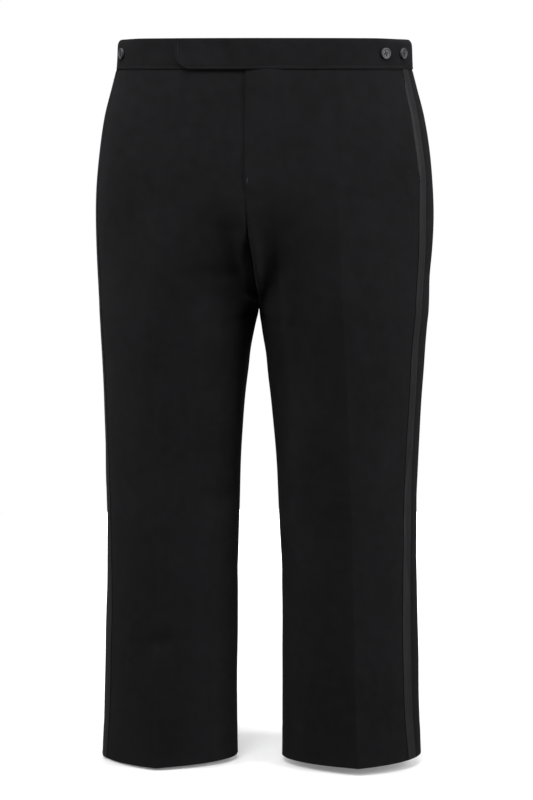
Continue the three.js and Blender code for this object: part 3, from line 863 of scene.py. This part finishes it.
class Nodes:
    """Short calls for a material's node tree."""

    def __init__(self, name):
        self.material = bpy.data.materials.get(name) or bpy.data.materials.new(name)
        self.material.use_nodes = True
        self.tree = self.material.node_tree
        self.tree.nodes.clear()
        self.output = self.add("ShaderNodeOutputMaterial")
        self.shader = self.add("ShaderNodeBsdfPrincipled")
        self.tree.links.new(self.shader.outputs[0], self.output.inputs["Surface"])

    def add(self, kind, **values):
        node = self.tree.nodes.new(kind)
        for key, value in values.items():
            setattr(node, key, value)
        return node

    def link(self, source, target):
        self.tree.links.new(source, target)

    def math(self, operation, a, b=None):
        node = self.add("ShaderNodeMath", operation=operation)
        for socket, value in zip(node.inputs, (a, b)):
            if value is None:
                continue
            if isinstance(value, (int, float)):
                socket.default_value = value
            else:
                self.link(value, socket)
        return node.outputs[0]

    def noise(self, vector, scale, detail=2.0, roughness=0.5):
        node = self.add("ShaderNodeTexNoise")
        node.inputs["Scale"].default_value = scale
        node.inputs["Detail"].default_value = detail
        node.inputs["Roughness"].default_value = roughness
        self.link(vector, node.inputs["Vector"])
        return node.outputs["Fac"]

    def colour(self, factor, dark, light):
        node = self.add("ShaderNodeMix", data_type="RGBA")
        self.link(factor, node.inputs[0])
        node.inputs[6].default_value = (*dark, 1)
        node.inputs[7].default_value = (*light, 1)
        return node.outputs[2]

    def range(self, value, low, high):
        node = self.add("ShaderNodeMapRange")
        self.link(value, node.inputs["Value"])
        node.inputs["To Min"].default_value = low
        node.inputs["To Max"].default_value = high
        return node.outputs["Result"]

    def bump(self, height, distance, strength, under=None):
        node = self.add("ShaderNodeBump")
        node.inputs["Distance"].default_value = distance
        node.inputs["Strength"].default_value = strength
        self.link(height, node.inputs["Height"])
        if under is not None:
            self.link(under, node.inputs["Normal"])
        return node.outputs["Normal"]


def tone(colour, factor):
    """A darker or lighter tone of a colour."""
    return tuple(min(1.0, c * factor) for c in colour)


def wool_material(settings):
    """Fine black wool twill with a soft nap, worn a little smooth on its pressed edges."""
    n = Nodes("wool_twill")
    coords = n.add("ShaderNodeTexCoord")
    cloth = n.add("ShaderNodeUVMap", uv_map="cloth").outputs["UV"]
    split = n.add("ShaderNodeSeparateXYZ")
    n.link(cloth, split.inputs[0])
    steep = n.math(
        "ADD", n.math("MULTIPLY", split.outputs[0], 0.87), n.math("MULTIPLY", split.outputs[1], -0.5)
    )
    lines = n.math("SINE", n.math("MULTIPLY", steep, 2 * math.pi / settings.twill))
    across = n.math("SINE", n.math("MULTIPLY", split.outputs[1], 2 * math.pi / (settings.twill * 0.62)))
    weave = n.math("ADD", n.math("MULTIPLY", lines, 0.7), n.math("MULTIPLY", across, 0.3))
    nap = n.noise(coords.outputs["Object"], 900.0, 3.0, 0.6)
    cloud = n.noise(coords.outputs["Object"], 9.0, 3.0, 0.55)
    patch = n.noise(coords.outputs["Object"], 70.0, 3.0, 0.6)
    clouds = n.math("ADD", n.math("MULTIPLY", cloud, 0.5), n.math("MULTIPLY", patch, 0.5))
    wear = n.add("ShaderNodeAttribute", attribute_name="wear").outputs["Fac"]
    base = settings.wool_colour
    fibre = n.colour(n.math("ADD", n.math("MULTIPLY", nap, 0.6), n.math("MULTIPLY", weave, 0.25)),
                     tone(base, 0.62), tone(base, 1.5))
    shade = n.add("ShaderNodeMix", data_type="RGBA", blend_type="MULTIPLY")
    shade.inputs[0].default_value = 1.0
    n.link(fibre, shade.inputs[6])
    tint = n.add("ShaderNodeCombineColor")
    worn = n.math("ADD", n.range(clouds, 0.1, 2.0), n.math("MULTIPLY", wear, 0.05))
    for i in range(3):
        n.link(worn, tint.inputs[i])
    n.link(tint.outputs[0], shade.inputs[7])
    n.link(shade.outputs[2], n.shader.inputs["Base Color"])
    rough = n.math("SUBTRACT", n.range(nap, 0.78, 0.95), n.math("MULTIPLY", wear, 0.06))
    n.link(rough, n.shader.inputs["Roughness"])
    n.shader.inputs["Specular IOR Level"].default_value = 0.09
    n.shader.inputs["Sheen Weight"].default_value = 0.025
    n.shader.inputs["Sheen Roughness"].default_value = 0.42
    n.shader.inputs["Sheen Tint"].default_value = (0.55, 0.56, 0.6, 1)
    soft = n.bump(patch, 0.0012, 0.10)
    fuzz = n.bump(nap, 0.0004, 0.35, soft)
    n.link(n.bump(weave, 0.00022, 0.55, fuzz), n.shader.inputs["Normal"])
    return n.material


def satin_material(settings):
    """Black satin ribbon: a fine cross rib and a soft sheen."""
    n = Nodes("satin_ribbon")
    coords = n.add("ShaderNodeTexCoord")
    cloth = n.add("ShaderNodeUVMap", uv_map="cloth").outputs["UV"]
    split = n.add("ShaderNodeSeparateXYZ")
    n.link(cloth, split.inputs[0])
    rib = n.math("SINE", n.math("MULTIPLY", split.outputs[1], 2 * math.pi / 0.0009))
    thread = n.math("SINE", n.math("MULTIPLY", split.outputs[0], 2 * math.pi / 0.0005))
    cloud = n.noise(coords.outputs["Object"], 30.0, 3.0, 0.55)
    fine = n.noise(coords.outputs["Object"], 1400.0, 2.0, 0.5)
    base = settings.satin_colour
    mixed = n.math("ADD", n.math("MULTIPLY", cloud, 0.7), n.math("MULTIPLY", rib, 0.12))
    n.link(n.colour(mixed, tone(base, 0.7), tone(base, 1.3)), n.shader.inputs["Base Color"])
    n.link(n.range(fine, 0.42, 0.58), n.shader.inputs["Roughness"])
    n.shader.inputs["Specular IOR Level"].default_value = 0.14
    n.shader.inputs["Sheen Weight"].default_value = 0.03
    n.shader.inputs["Sheen Roughness"].default_value = 0.3
    n.shader.inputs["Anisotropic"].default_value = 0.5
    slow = n.bump(cloud, 0.0015, 0.16)
    woven = n.math("ADD", rib, n.math("MULTIPLY", thread, 0.5))
    n.link(n.bump(woven, 0.00008, 0.5, slow), n.shader.inputs["Normal"])
    return n.material


def resin_material(settings):
    """Dark grey resin with a faint cloudy grain, a little duller where it is rubbed."""
    n = Nodes("button_resin")
    coords = n.add("ShaderNodeTexCoord")
    cloud = n.noise(coords.outputs["Object"], 260.0, 4.0, 0.6)
    fine = n.noise(coords.outputs["Object"], 1800.0, 2.0, 0.5)
    base = settings.button_colour
    n.link(n.colour(cloud, tone(base, 0.6), tone(base, 1.5)), n.shader.inputs["Base Color"])
    n.link(n.range(fine, 0.44, 0.58), n.shader.inputs["Roughness"])
    n.shader.inputs["Specular IOR Level"].default_value = 0.3
    n.shader.inputs["Coat Weight"].default_value = 0.1
    n.shader.inputs["Coat Roughness"].default_value = 0.2
    n.link(n.bump(fine, 0.00004, 0.3), n.shader.inputs["Normal"])
    return n.material


def thread_material(settings):
    """Black sewing thread with its twist."""
    n = Nodes("sewing_thread")
    coords = n.add("ShaderNodeTexCoord")
    split = n.add("ShaderNodeSeparateXYZ")
    n.link(coords.outputs["Object"], split.inputs[0])
    level = n.math("ADD", split.outputs[0], split.outputs[1])
    slant = n.math("ADD", level, n.math("MULTIPLY", split.outputs[2], 0.8))
    twist = n.math("SINE", n.math("MULTIPLY", slant, 2 * math.pi / 0.0005))
    fuzz = n.noise(coords.outputs["Object"], 3000.0, 2.0, 0.5)
    base = settings.thread_colour
    both = n.math("ADD", n.math("MULTIPLY", twist, 0.25), fuzz)
    n.link(n.colour(both, tone(base, 0.6), tone(base, 1.6)), n.shader.inputs["Base Color"])
    n.link(n.range(fuzz, 0.45, 0.62), n.shader.inputs["Roughness"])
    n.link(n.bump(twist, 0.00006, 0.5), n.shader.inputs["Normal"])
    return n.material


def floor_material(studio):
    """Pale studio floor, very slightly uneven."""
    n = Nodes("studio_floor")
    coords = n.add("ShaderNodeTexCoord")
    grain = n.noise(coords.outputs["Object"], 3.0, 3.0, 0.5)
    base = studio.floor_colour
    n.link(n.colour(grain, tone(base, 0.985), tone(base, 1.015)), n.shader.inputs["Base Color"])
    n.link(n.range(grain, 0.85, 0.95), n.shader.inputs["Roughness"])
    n.shader.inputs["Specular IOR Level"].default_value = 0.1
    n.shader.inputs["Emission Color"].default_value = (1, 1, 1, 1)
    n.shader.inputs["Emission Strength"].default_value = studio.floor_glow
    return n.material


# The waistband's line.


class WaistLine:
    """Points round the waist at height z, by length from the centre front, positive to the left."""

    def __init__(self, z):
        self.z = z
        width, y, square = at(BODY, "width", z), at(BODY, "y", z), at(BODY, "square", z)
        front = quarter((0, y), width, -at(BODY, "front", z) - y, square, square, 200)
        back = quarter((0, y), width, at(BODY, "back", z) - y, square, square, 200)
        self.line = np.vstack((front, back[::-1][1:]))
        self.run = run_of(self.line)
        self.half = self.run[-1]
        self.turn = at(BODY, "turn", z)

    def place(self, s):
        """Points and outward directions at lengths s."""
        along = np.asarray(s, dtype=float) - self.turn
        along = np.where(along < -self.half, along + 2 * self.half, along)
        want = np.abs(along)
        sign = np.where(along < 0, -1.0, 1.0)
        x = np.interp(want, self.run, self.line[:, 0])
        y = np.interp(want, self.run, self.line[:, 1])
        ahead = np.minimum(want + 1.5, self.half)
        behind = np.maximum(want - 1.5, 0)
        dx = np.interp(ahead, self.run, self.line[:, 0]) - np.interp(behind, self.run, self.line[:, 0])
        dy = np.interp(ahead, self.run, self.line[:, 1]) - np.interp(behind, self.run, self.line[:, 1])
        length = np.hypot(dx, dy)
        points = np.stack((sign * x, y, np.full_like(x, self.z)), axis=-1)
        out = np.stack((sign * dy / length, -dx / length, np.zeros_like(x)), axis=-1)
        return points, out


def band_lift(s):
    """How far the left half stands off the waist line, over the right half and beyond it."""
    return BAND_PROUD + TAB_LIFT * (1 - smooth(s / TAB_FADE))


def tab_end(z):
    """Where the tab ends at height z, with its lower corner rounded."""
    t = min(1.0, max(0.0, (-z - (BAND_HEIGHT - TAB_CORNER["height"])) / TAB_CORNER["height"]))
    return -TAB_LENGTH + TAB_CORNER["length"] * (1 - math.sqrt(1 - t * t))


def band_depths():
    """Depths of the waistband's rows below its top edge, close at the edges and round the tab's corner."""
    edge = np.array(BAND_EDGE)
    straight = BAND_HEIGHT - TAB_CORNER["height"]
    corner = BAND_HEIGHT - TAB_CORNER["height"] * (1 - np.sin(np.linspace(0, math.pi / 2, 14)))
    middle = np.concatenate((np.linspace(edge[-1], straight, 7)[1:], corner[1:-1]))
    return np.concatenate((edge, middle[middle < BAND_HEIGHT - 1.7], BAND_HEIGHT - edge[::-1]))


def band_lengths(left, depth, far):
    """Places along one half of the waistband, and how far each is from the tab's end."""
    if not left:
        s = np.linspace(-1.0, -far, 150)
        return s, np.full_like(s, TAB_LENGTH)
    end = tab_end(-depth)
    tab = end + np.concatenate((BAND_EDGE, np.linspace(BAND_EDGE[-1], -end, 60)[1:]))
    s = np.concatenate((tab, np.linspace(0, TAB_FADE, 16)[1:], np.linspace(TAB_FADE, far, 130)[1:]))
    return s, s - end


def band_grid(left, thick):
    """Grid of one half of the waistband, with rounded edges, as arrays for closed_wall."""
    depths = band_depths()
    points, out, cloth, outer, inner = [], [], [], [], []
    for depth in depths:
        line = WaistLine(-depth)
        s, from_end = band_lengths(left, depth, line.half)
        p, n = line.place(s)
        p[-1] += (p[-1] - p[-2]) / np.linalg.norm(p[-1] - p[-2]) * SEAM_LAP
        wave = 0.25 * np.sin(s / 31) * math.sin(math.pi * depth / BAND_HEIGHT)
        wave = wave + 0.12 * np.sin(s / 11 + depth / 6)
        centre = wave * np.where(np.abs(s) < 70, 0.0, 1.0) - thick / 2
        if left:
            near_end = 1 - smooth((s - TAB_SWELL["start"]) / TAB_SWELL["over"])
            low = smooth((depth - TAB_SWELL["top"]) / TAB_SWELL["height"])
            centre = centre + band_lift(s) + TAB_SWELL["proud"] * near_end * low
        else:
            centre = centre + BAND_PROUD
        # Thinner towards each edge, so that the folded edges are round.
        near = np.clip(np.minimum(min(depth, BAND_HEIGHT - depth), from_end) / BAND_ROUND, 0, 1)
        half = thick / 2 * np.sqrt(np.clip(1 - (1 - near) ** 2, 0.05, 1))
        groove = STITCH_GROOVE["deep"] * bell(BAND_HEIGHT - STITCH_LINE - depth, STITCH_GROOVE["width"])
        # At the sides the top edge dips a little and rolls inwards.
        side = smooth((np.abs(p[:, 0]) - BAND_ROLL["start"]) / BAND_ROLL["over"])
        p[:, 2] -= BAND_ROLL["dip"] * side * (1 - depth / BAND_HEIGHT) ** 1.5
        height = 1 - min(depth, BAND_ROLL["height"]) / BAND_ROLL["height"]
        rolled = 1 - np.sqrt(1 - 0.94 * height**2)
        points.append(p - n * (BAND_ROLL["inward"] * side * rolled)[:, None])
        out.append(n)
        cloth.append(np.stack((s, np.full_like(s, -depth)), axis=-1))
        outer.append(centre + half - groove)
        inner.append(centre - half)
    wear = 0.4 * np.exp(-np.minimum(depths, BAND_HEIGHT - depths) / 1.6)[:, None] * np.ones(len(points[0]))
    return tuple(np.stack(a) for a in (points, out, cloth, outer, inner)) + (wear,)


def stitches(name, places, radius=0.22):
    """One mesh of little pointed stitches. places are (start, end, outward) in millimetres."""
    ring = 6
    vertices, faces = [], []
    for start, end, up in places:
        start, end, up = (np.asarray(v, dtype=float) for v in (start, end, up))
        along = end - start
        across = np.cross(along, up)
        across /= np.linalg.norm(across) + 1e-9
        base = len(vertices)
        for share, size, lift in ((0.0, 0.45, -0.12), (0.3, 1.0, 0.10), (0.7, 1.0, 0.10), (1.0, 0.45, -0.12)):
            centre = start + along * share + up * lift
            for k in range(ring):
                a = 2 * math.pi * k / ring
                vertices.append(centre + radius * size * (math.cos(a) * across + math.sin(a) * up * 0.8))
        for r in range(3):
            for k in range(ring):
                p, q = base + r * ring + k, base + r * ring + (k + 1) % ring
                faces.append((p, q, q + ring, p + ring))
        faces.append(tuple(base + k for k in reversed(range(ring))))
        faces.append(tuple(base + 3 * ring + k for k in range(ring)))
    mesh = bpy.data.meshes.new(name)
    mesh.from_pydata((np.array(vertices) * MM).tolist(), [], faces)
    mesh.polygons.foreach_set("use_smooth", np.ones(len(mesh.polygons), dtype=bool))
    mesh.validate()
    piece = bpy.data.objects.new(name, mesh)
    bpy.context.collection.objects.link(piece)
    deselect()
    piece.select_set(True)
    bpy.context.view_layer.objects.active = piece
    bpy.ops.object.mode_set(mode="EDIT")
    bpy.ops.mesh.select_all(action="SELECT")
    bpy.ops.mesh.normals_make_consistent(inside=False)
    bpy.ops.object.mode_set(mode="OBJECT")
    return piece


def run_stitches(points, out, length, gap=0.55, lift=0.12):
    """Stitch places along a line of points, each a stitch length long with a small gap."""
    run = np.concatenate(([0.0], np.cumsum(np.linalg.norm(np.diff(points, axis=0), axis=1))))
    places = []
    for s in np.arange(0, run[-1] - length, length):
        start, end, up = (
            np.array([np.interp(v, run, data[:, k]) for k in range(3)])
            for v, data in ((s, points), (s + length - gap, points), (s + length / 2, out))
        )
        up /= np.linalg.norm(up)
        places.append((start + up * lift, end + up * lift, up))
    return places


def bar_tack(centre, along, up, length, count=9, width=1.5):
    """Close stitches across a short bar."""
    along = np.asarray(along, dtype=float) / np.linalg.norm(along)
    up = np.asarray(up, dtype=float) / np.linalg.norm(up)
    across = np.cross(up, along)
    places = []
    for k in range(count):
        middle = centre + along * length * (k / (count - 1) - 0.5) + up * 0.3
        places.append((middle - across * width / 2, middle + across * width / 2, up))
    return places


class OBJECT_OT_trouser_panels(bpy.types.Operator):
    """The two fronts and two backs, sewn from the waist seam to the hem"""

    bl_idname = "object.trouser_panels"
    bl_label = "Cloth panels"

    def execute(self, context):
        settings = context.scene.trousers
        wool = wool_material(settings)
        thick = settings.cloth / MM
        for side, name in ((1, "left"), (-1, "right")):
            grid = side_of(side)
            # Rounded at the hem, where the cloth is turned up.
            near = np.clip((grid.heights - HEM) / HEM_ROUND, 0, 1)
            half = thick / 2 * np.sqrt(np.clip(1 - (1 - near) ** 2, 0.05, 1))[:, None]
            for part_name, start, end in (("front", 0, grid.outseam), ("back", grid.outseam, grid.last)):
                points, out, cloth, wear = grid.columns(start, end)
                piece = closed_wall(
                    f"cloth_{part_name}_{name}", points, out, cloth, wear,
                    -thick / 2 + half, -thick / 2 - half, side < 0,
                )
                dress(piece, wool, "wool", f"{part_name}_{name}")
        return {"FINISHED"}


class OBJECT_OT_trouser_waistband(bpy.types.Operator):
    """The waistband's two halves; the left one ends in a tab with a rounded corner"""

    bl_idname = "object.trouser_waistband"
    bl_label = "Waistband"

    def execute(self, context):
        settings = context.scene.trousers
        wool = wool_material(settings)
        for left, name in ((True, "left"), (False, "right")):
            points, out, cloth, outer, inner, wear = band_grid(left, settings.band_cloth / MM)
            piece = closed_wall(f"band_{name}", points, out, cloth, wear, outer, inner, not left)
            dress(piece, wool, "wool", f"waistband_{name}")
        return {"FINISHED"}


class OBJECT_OT_trouser_stripes(bpy.types.Operator):
    """The satin ribbon down each outseam"""

    bl_idname = "object.trouser_stripes"
    bl_label = "Side stripes"

    def execute(self, context):
        settings = context.scene.trousers
        satin = satin_material(settings)
        thick = settings.ribbon / MM
        low = settings.seam_gap / MM
        for side, name in ((1, "left"), (-1, "right")):
            grid = side_of(side)
            # The ribbon ends just above the hem's fold.
            points, out, cloth, wear = (a[:-2] for a in grid.columns(grid.ribbon, grid.outseam))
            across = np.linspace(0, 1, points.shape[1])[None, :]
            near = np.minimum(across, 1 - across) * STRIPE_WIDTH
            selvedge = RIBBON["selvedge"] * bell(near - RIBBON["selvedge_off"], RIBBON["selvedge_width"])
            outer = low + thick * RIBBON["wall"] + RIBBON["crown"] * np.sin(math.pi * across) + selvedge
            piece = closed_wall(f"ribbon_{name}", points, out, cloth, wear * 0, outer, low, side < 0)
            dress(piece, satin, "satin", f"stripe_{name}")
        return {"FINISHED"}


class OBJECT_OT_trouser_buttons(bpy.types.Operator):
    """Three four-hole buttons with a raised rim, sewn on with crossed threads"""

    bl_idname = "object.trouser_buttons"
    bl_label = "Buttons"

    def execute(self, context):
        settings = context.scene.trousers
        resin, thread = resin_material(settings), thread_material(settings)
        master = self.model(settings.button_radius)
        line = WaistLine(BUTTON["z"])
        for name, side, x in BUTTON_PLACES:
            points, out = line.place(side * np.arange(60, line.half, 0.25))
            i = int(np.argmax(side * points[:, 0] >= x))
            place = points[i] + out[i] * (BAND_PROUD + BUTTON["off_band"])
            face_out = Vector((0, 0, 1)).rotation_difference(Vector(out[i]))
            turn = face_out @ Quaternion((0, 0, 1), BUTTON["turned"] * side)
            piece = bpy.data.objects.new(f"resin_{name}", master.data.copy())
            context.collection.objects.link(piece)
            piece.data.transform(Matrix.Translation(Vector(place * MM)) @ turn.to_matrix().to_4x4())
            dress(piece, resin, "button", name)
            tie = stitches(f"thread_{name}", self.crossed_threads(place, turn, out[i]), TIE["radius"])
            dress(tie, thread, "button")
        bpy.data.objects.remove(master)
        return {"FINISHED"}

    def crossed_threads(self, place, turn, up):
        """Three threads beside each other from each hole to the one across from it."""
        sewn = []
        for u, v in ((1, 1), (1, -1)):
            for shift in (-TIE["apart"], 0.0, TIE["apart"]):
                aside = np.array((-shift * v, shift * u, TIE["lift"]))
                along = np.array((u, v, 0)) * BUTTON["spread"]
                sewn.append((*(place + np.array(turn @ Vector(aside + end * along)) for end in (-1, 1)), up))
        return sewn

    def model(self, radius):
        """One button about the z axis, its back at 0, modelled from a flat cylinder."""
        deselect()
        bpy.ops.mesh.primitive_cylinder_add(
            vertices=48, radius=radius, depth=BUTTON["thick"] * MM, location=(0, 0, 0.0016)
        )
        button = bpy.context.active_object
        bpy.ops.object.transform_apply(location=True, rotation=True, scale=True)
        bpy.ops.object.mode_set(mode="EDIT")
        bpy.ops.mesh.select_mode(type="FACE")
        bpy.ops.mesh.select_all(action="DESELECT")
        bpy.ops.object.mode_set(mode="OBJECT")
        for face in button.data.polygons:
            face.select = face.normal.z > 0.9
        bpy.ops.object.mode_set(mode="EDIT")
        bpy.ops.mesh.inset(thickness=BUTTON["rim"] * MM)
        bpy.ops.mesh.inset(thickness=BUTTON["slope"] * MM)
        bpy.ops.transform.translate(value=(0, 0, -BUTTON["dish"] * MM))
        bpy.ops.mesh.inset(thickness=BUTTON["floor"] * MM)
        bpy.ops.object.mode_set(mode="OBJECT")
        bevel = button.modifiers.new("edges", "BEVEL")
        bevel.width = BUTTON["bevel"] * MM
        bevel.segments = 3
        bevel.limit_method = "ANGLE"
        bpy.ops.object.modifier_apply(modifier="edges")
        spread = BUTTON["spread"] * MM
        for u, v in ((1, 1), (-1, 1), (-1, -1), (1, -1)):
            deselect()
            bpy.ops.mesh.primitive_cylinder_add(
                vertices=20, radius=BUTTON["hole"] * MM, depth=0.01, location=(spread * u, spread * v, 0.002)
            )
            pin = bpy.context.active_object
            deselect()
            button.select_set(True)
            bpy.context.view_layer.objects.active = button
            hole = button.modifiers.new("hole", "BOOLEAN")
            hole.operation, hole.solver, hole.object = "DIFFERENCE", "EXACT", pin
            bpy.ops.object.modifier_apply(modifier="hole")
            bpy.data.objects.remove(pin)
        bpy.ops.object.shade_smooth_by_angle(angle=math.radians(40))
        return button


class OBJECT_OT_trouser_sewing(bpy.types.Operator):
    """Edge stitching above the waist seam, and bar tacks at the fly and the pocket ends"""

    bl_idname = "object.trouser_sewing"
    bl_label = "Sewing"

    def execute(self, context):
        settings = context.scene.trousers
        thread = thread_material(settings)
        length = settings.stitch / MM
        line = WaistLine(STITCH_LINE - BAND_HEIGHT)
        places = []
        for s, lift in (
            (np.linspace(tab_end(line.z) + 4.5, line.half - 2, 700), band_lift),
            (-np.linspace(TAB_LENGTH + 3, line.half - 2, 500), lambda s: np.full_like(s, BAND_PROUD)),
        ):
            points, out = line.place(s)
            places += run_stitches(points + out * (lift(s) - STITCH_GROOVE["deep"])[:, None], out, length)
        # Round the tab's end and up to its top.
        edge, facing = [], []
        for depth in np.linspace(BAND_HEIGHT - STITCH_LINE, 3.0, 50):
            p, n = WaistLine(-depth).place(np.array([tab_end(-depth) + TAB_STITCH]))
            edge.append(p[0] + n[0] * (BAND_PROUD + TAB_LIFT + 0.02))
            facing.append(n[0])
        places += run_stitches(np.array(edge), np.array(facing), length)
        dress(stitches("stitches_waistband", places), thread, "wool")
        left = side_of(1)
        tacks = self.tack(left, FLY_TACK, 2, (0.25, 0, 1), 5.0)
        for grid in (left, side_of(-1)):
            for height in (POCKET["top"], POCKET["bottom"]):
                tacks += self.tack(grid, height, grid.ribbon - 2, (1, 0.6, 0), 5.5)
        dress(stitches("stitches_bar_tacks", tacks, 0.26), thread, "wool")
        return {"FINISHED"}

    def tack(self, grid, height, column, along, length):
        """The stitches of a bar tack on a side's grid, at the row nearest a height."""
        row = int(np.argmin(np.abs(grid.heights - height)))
        return bar_tack(grid.grid[row, column], along, grid.out[row, column], length)


class OBJECT_OT_trouser_sheets(bpy.types.Operator):
    """An empty step, which changes nothing in the scene"""

    bl_idname = "object.trouser_sheets"
    bl_label = "Cut sizes"

    def execute(self, context):
        return {"FINISHED"}


class OBJECT_OT_trouser_studio(bpy.types.Operator):
    """A pale floor, soft lights from both sides, above and in front, and the camera"""

    bl_idname = "object.trouser_studio"
    bl_label = "Studio"

    def execute(self, context):
        studio = context.scene.trouser_studio
        deselect()
        bpy.ops.mesh.primitive_circle_add(
            vertices=128, radius=studio.floor_radius, fill_type="NGON", location=(0, 0, (HEM - FLOOR_DROP) * MM)
        )
        floor = context.active_object
        floor.name = "floor"
        floor.data.materials.append(floor_material(studio))
        # The floor takes the shadow and gives no light back to the cloth.
        floor.visible_diffuse = floor.visible_glossy = False
        for name, place, size, power in (
            ("light_left", (-2.6, -1.05, 0.25), (0.8, 2.2), studio.left_power),
            ("light_right", (2.62, -0.95, 0.25), (0.8, 2.2), studio.right_power),
            ("light_top", (0.0, -0.3, 1.7), (2.6, 2.0), studio.top_power),
            ("light_back_left", (-0.9, 2.6, -0.35), (1.2, 1.0), studio.back_power),
            ("light_back_right", (0.9, 2.6, -0.35), (1.2, 1.0), studio.back_power),
            ("light_key", (-0.3, -2.0, 2.1), (1.6, 1.2), studio.front_power),
        ):
            lamp = bpy.data.lights.new(name, "AREA")
            lamp.shape, lamp.size, lamp.size_y, lamp.energy = "RECTANGLE", *size, power
            light = bpy.data.objects.new(name, lamp)
            context.collection.objects.link(light)
            light.location = place
            light.visible_camera = False
            # The lights behind are for the hidden sides and would only show on the outline.
            light.visible_glossy = place[1] < 0
            target = Vector(LIGHT_TARGET) - Vector(place)
            light.rotation_euler = target.to_track_quat("-Z", "Y").to_euler()
        self.surroundings(context, studio)
        self.camera(context, studio)
        context.scene.view_settings.view_transform = "Standard"
        context.scene.view_settings.look = "None"
        return {"FINISHED"}

    def surroundings(self, context, studio):
        """White as the camera sees them, and much dimmer as light on the cloth."""
        world = bpy.data.worlds.new("pale_surroundings")
        context.scene.world = world
        world.use_nodes = True
        tree = world.node_tree
        tree.nodes.clear()
        seen, lit = (tree.nodes.new("ShaderNodeBackground") for _ in range(2))
        for background in (seen, lit):
            background.inputs["Color"].default_value = (1, 1, 1, 1)
        lit.inputs["Strength"].default_value = studio.sky
        path = tree.nodes.new("ShaderNodeLightPath")
        both = tree.nodes.new("ShaderNodeMixShader")
        output = tree.nodes.new("ShaderNodeOutputWorld")
        tree.links.new(path.outputs["Is Camera Ray"], both.inputs[0])
        tree.links.new(lit.outputs[0], both.inputs[1])
        tree.links.new(seen.outputs[0], both.inputs[2])
        tree.links.new(both.outputs[0], output.inputs[0])

    def camera(self, context, studio):
        """The camera, a little to the wearer's left and looking slightly down."""
        turn, distance, aside = studio.camera_turn, studio.camera_distance, studio.camera_aside
        lens = bpy.data.cameras.new("camera")
        lens.lens, lens.sensor_width, lens.clip_end = studio.lens, 36.0, 100.0
        camera = bpy.data.objects.new("camera", lens)
        context.collection.objects.link(camera)
        camera.location = (
            distance * math.sin(turn) + aside * math.cos(turn),
            -distance * math.cos(turn) + aside * math.sin(turn),
            studio.camera_height,
        )
        camera.rotation_euler = (math.pi / 2 - studio.camera_pitch, 0, turn)
        context.scene.camera = camera


STEPS = (
    OBJECT_OT_trouser_studio,
    OBJECT_OT_trouser_panels,
    OBJECT_OT_trouser_waistband,
    OBJECT_OT_trouser_stripes,
    OBJECT_OT_trouser_buttons,
    OBJECT_OT_trouser_sewing,
    OBJECT_OT_trouser_sheets,
)


class VIEW3D_PT_trousers(bpy.types.Panel):
    """Sizes, colours and steps, in the 3D view's sidebar"""

    bl_label = "Formal trousers"
    bl_idname = "VIEW3D_PT_trousers"
    bl_space_type = "VIEW_3D"
    bl_region_type = "UI"
    bl_category = "Trousers"

    def draw(self, context):
        for group in (context.scene.trousers, context.scene.trouser_studio):
            box = self.layout.box()
            for name in group.bl_rna.properties.keys():
                if name not in {"rna_type", "name"}:
                    box.prop(group, name)
        for step in STEPS:
            self.layout.operator(step.bl_idname)


CLASSES = (TrousersSettings, StudioSettings, *STEPS, VIEW3D_PT_trousers)


def register():
    for cls in CLASSES:
        bpy.utils.register_class(cls)
    bpy.types.Scene.trousers = PointerProperty(type=TrousersSettings)
    bpy.types.Scene.trouser_studio = PointerProperty(type=StudioSettings)


def unregister():
    del bpy.types.Scene.trouser_studio
    del bpy.types.Scene.trousers
    for cls in reversed(CLASSES):
        bpy.utils.unregister_class(cls)


def main():
    register()
    bpy.ops.object.trouser_studio()
    bpy.ops.object.trouser_panels()
    bpy.ops.object.trouser_waistband()
    bpy.ops.object.trouser_stripes()
    bpy.ops.object.trouser_buttons()
    bpy.ops.object.trouser_sewing()
    bpy.ops.object.trouser_sheets()


if __name__ == "__main__":
    main()
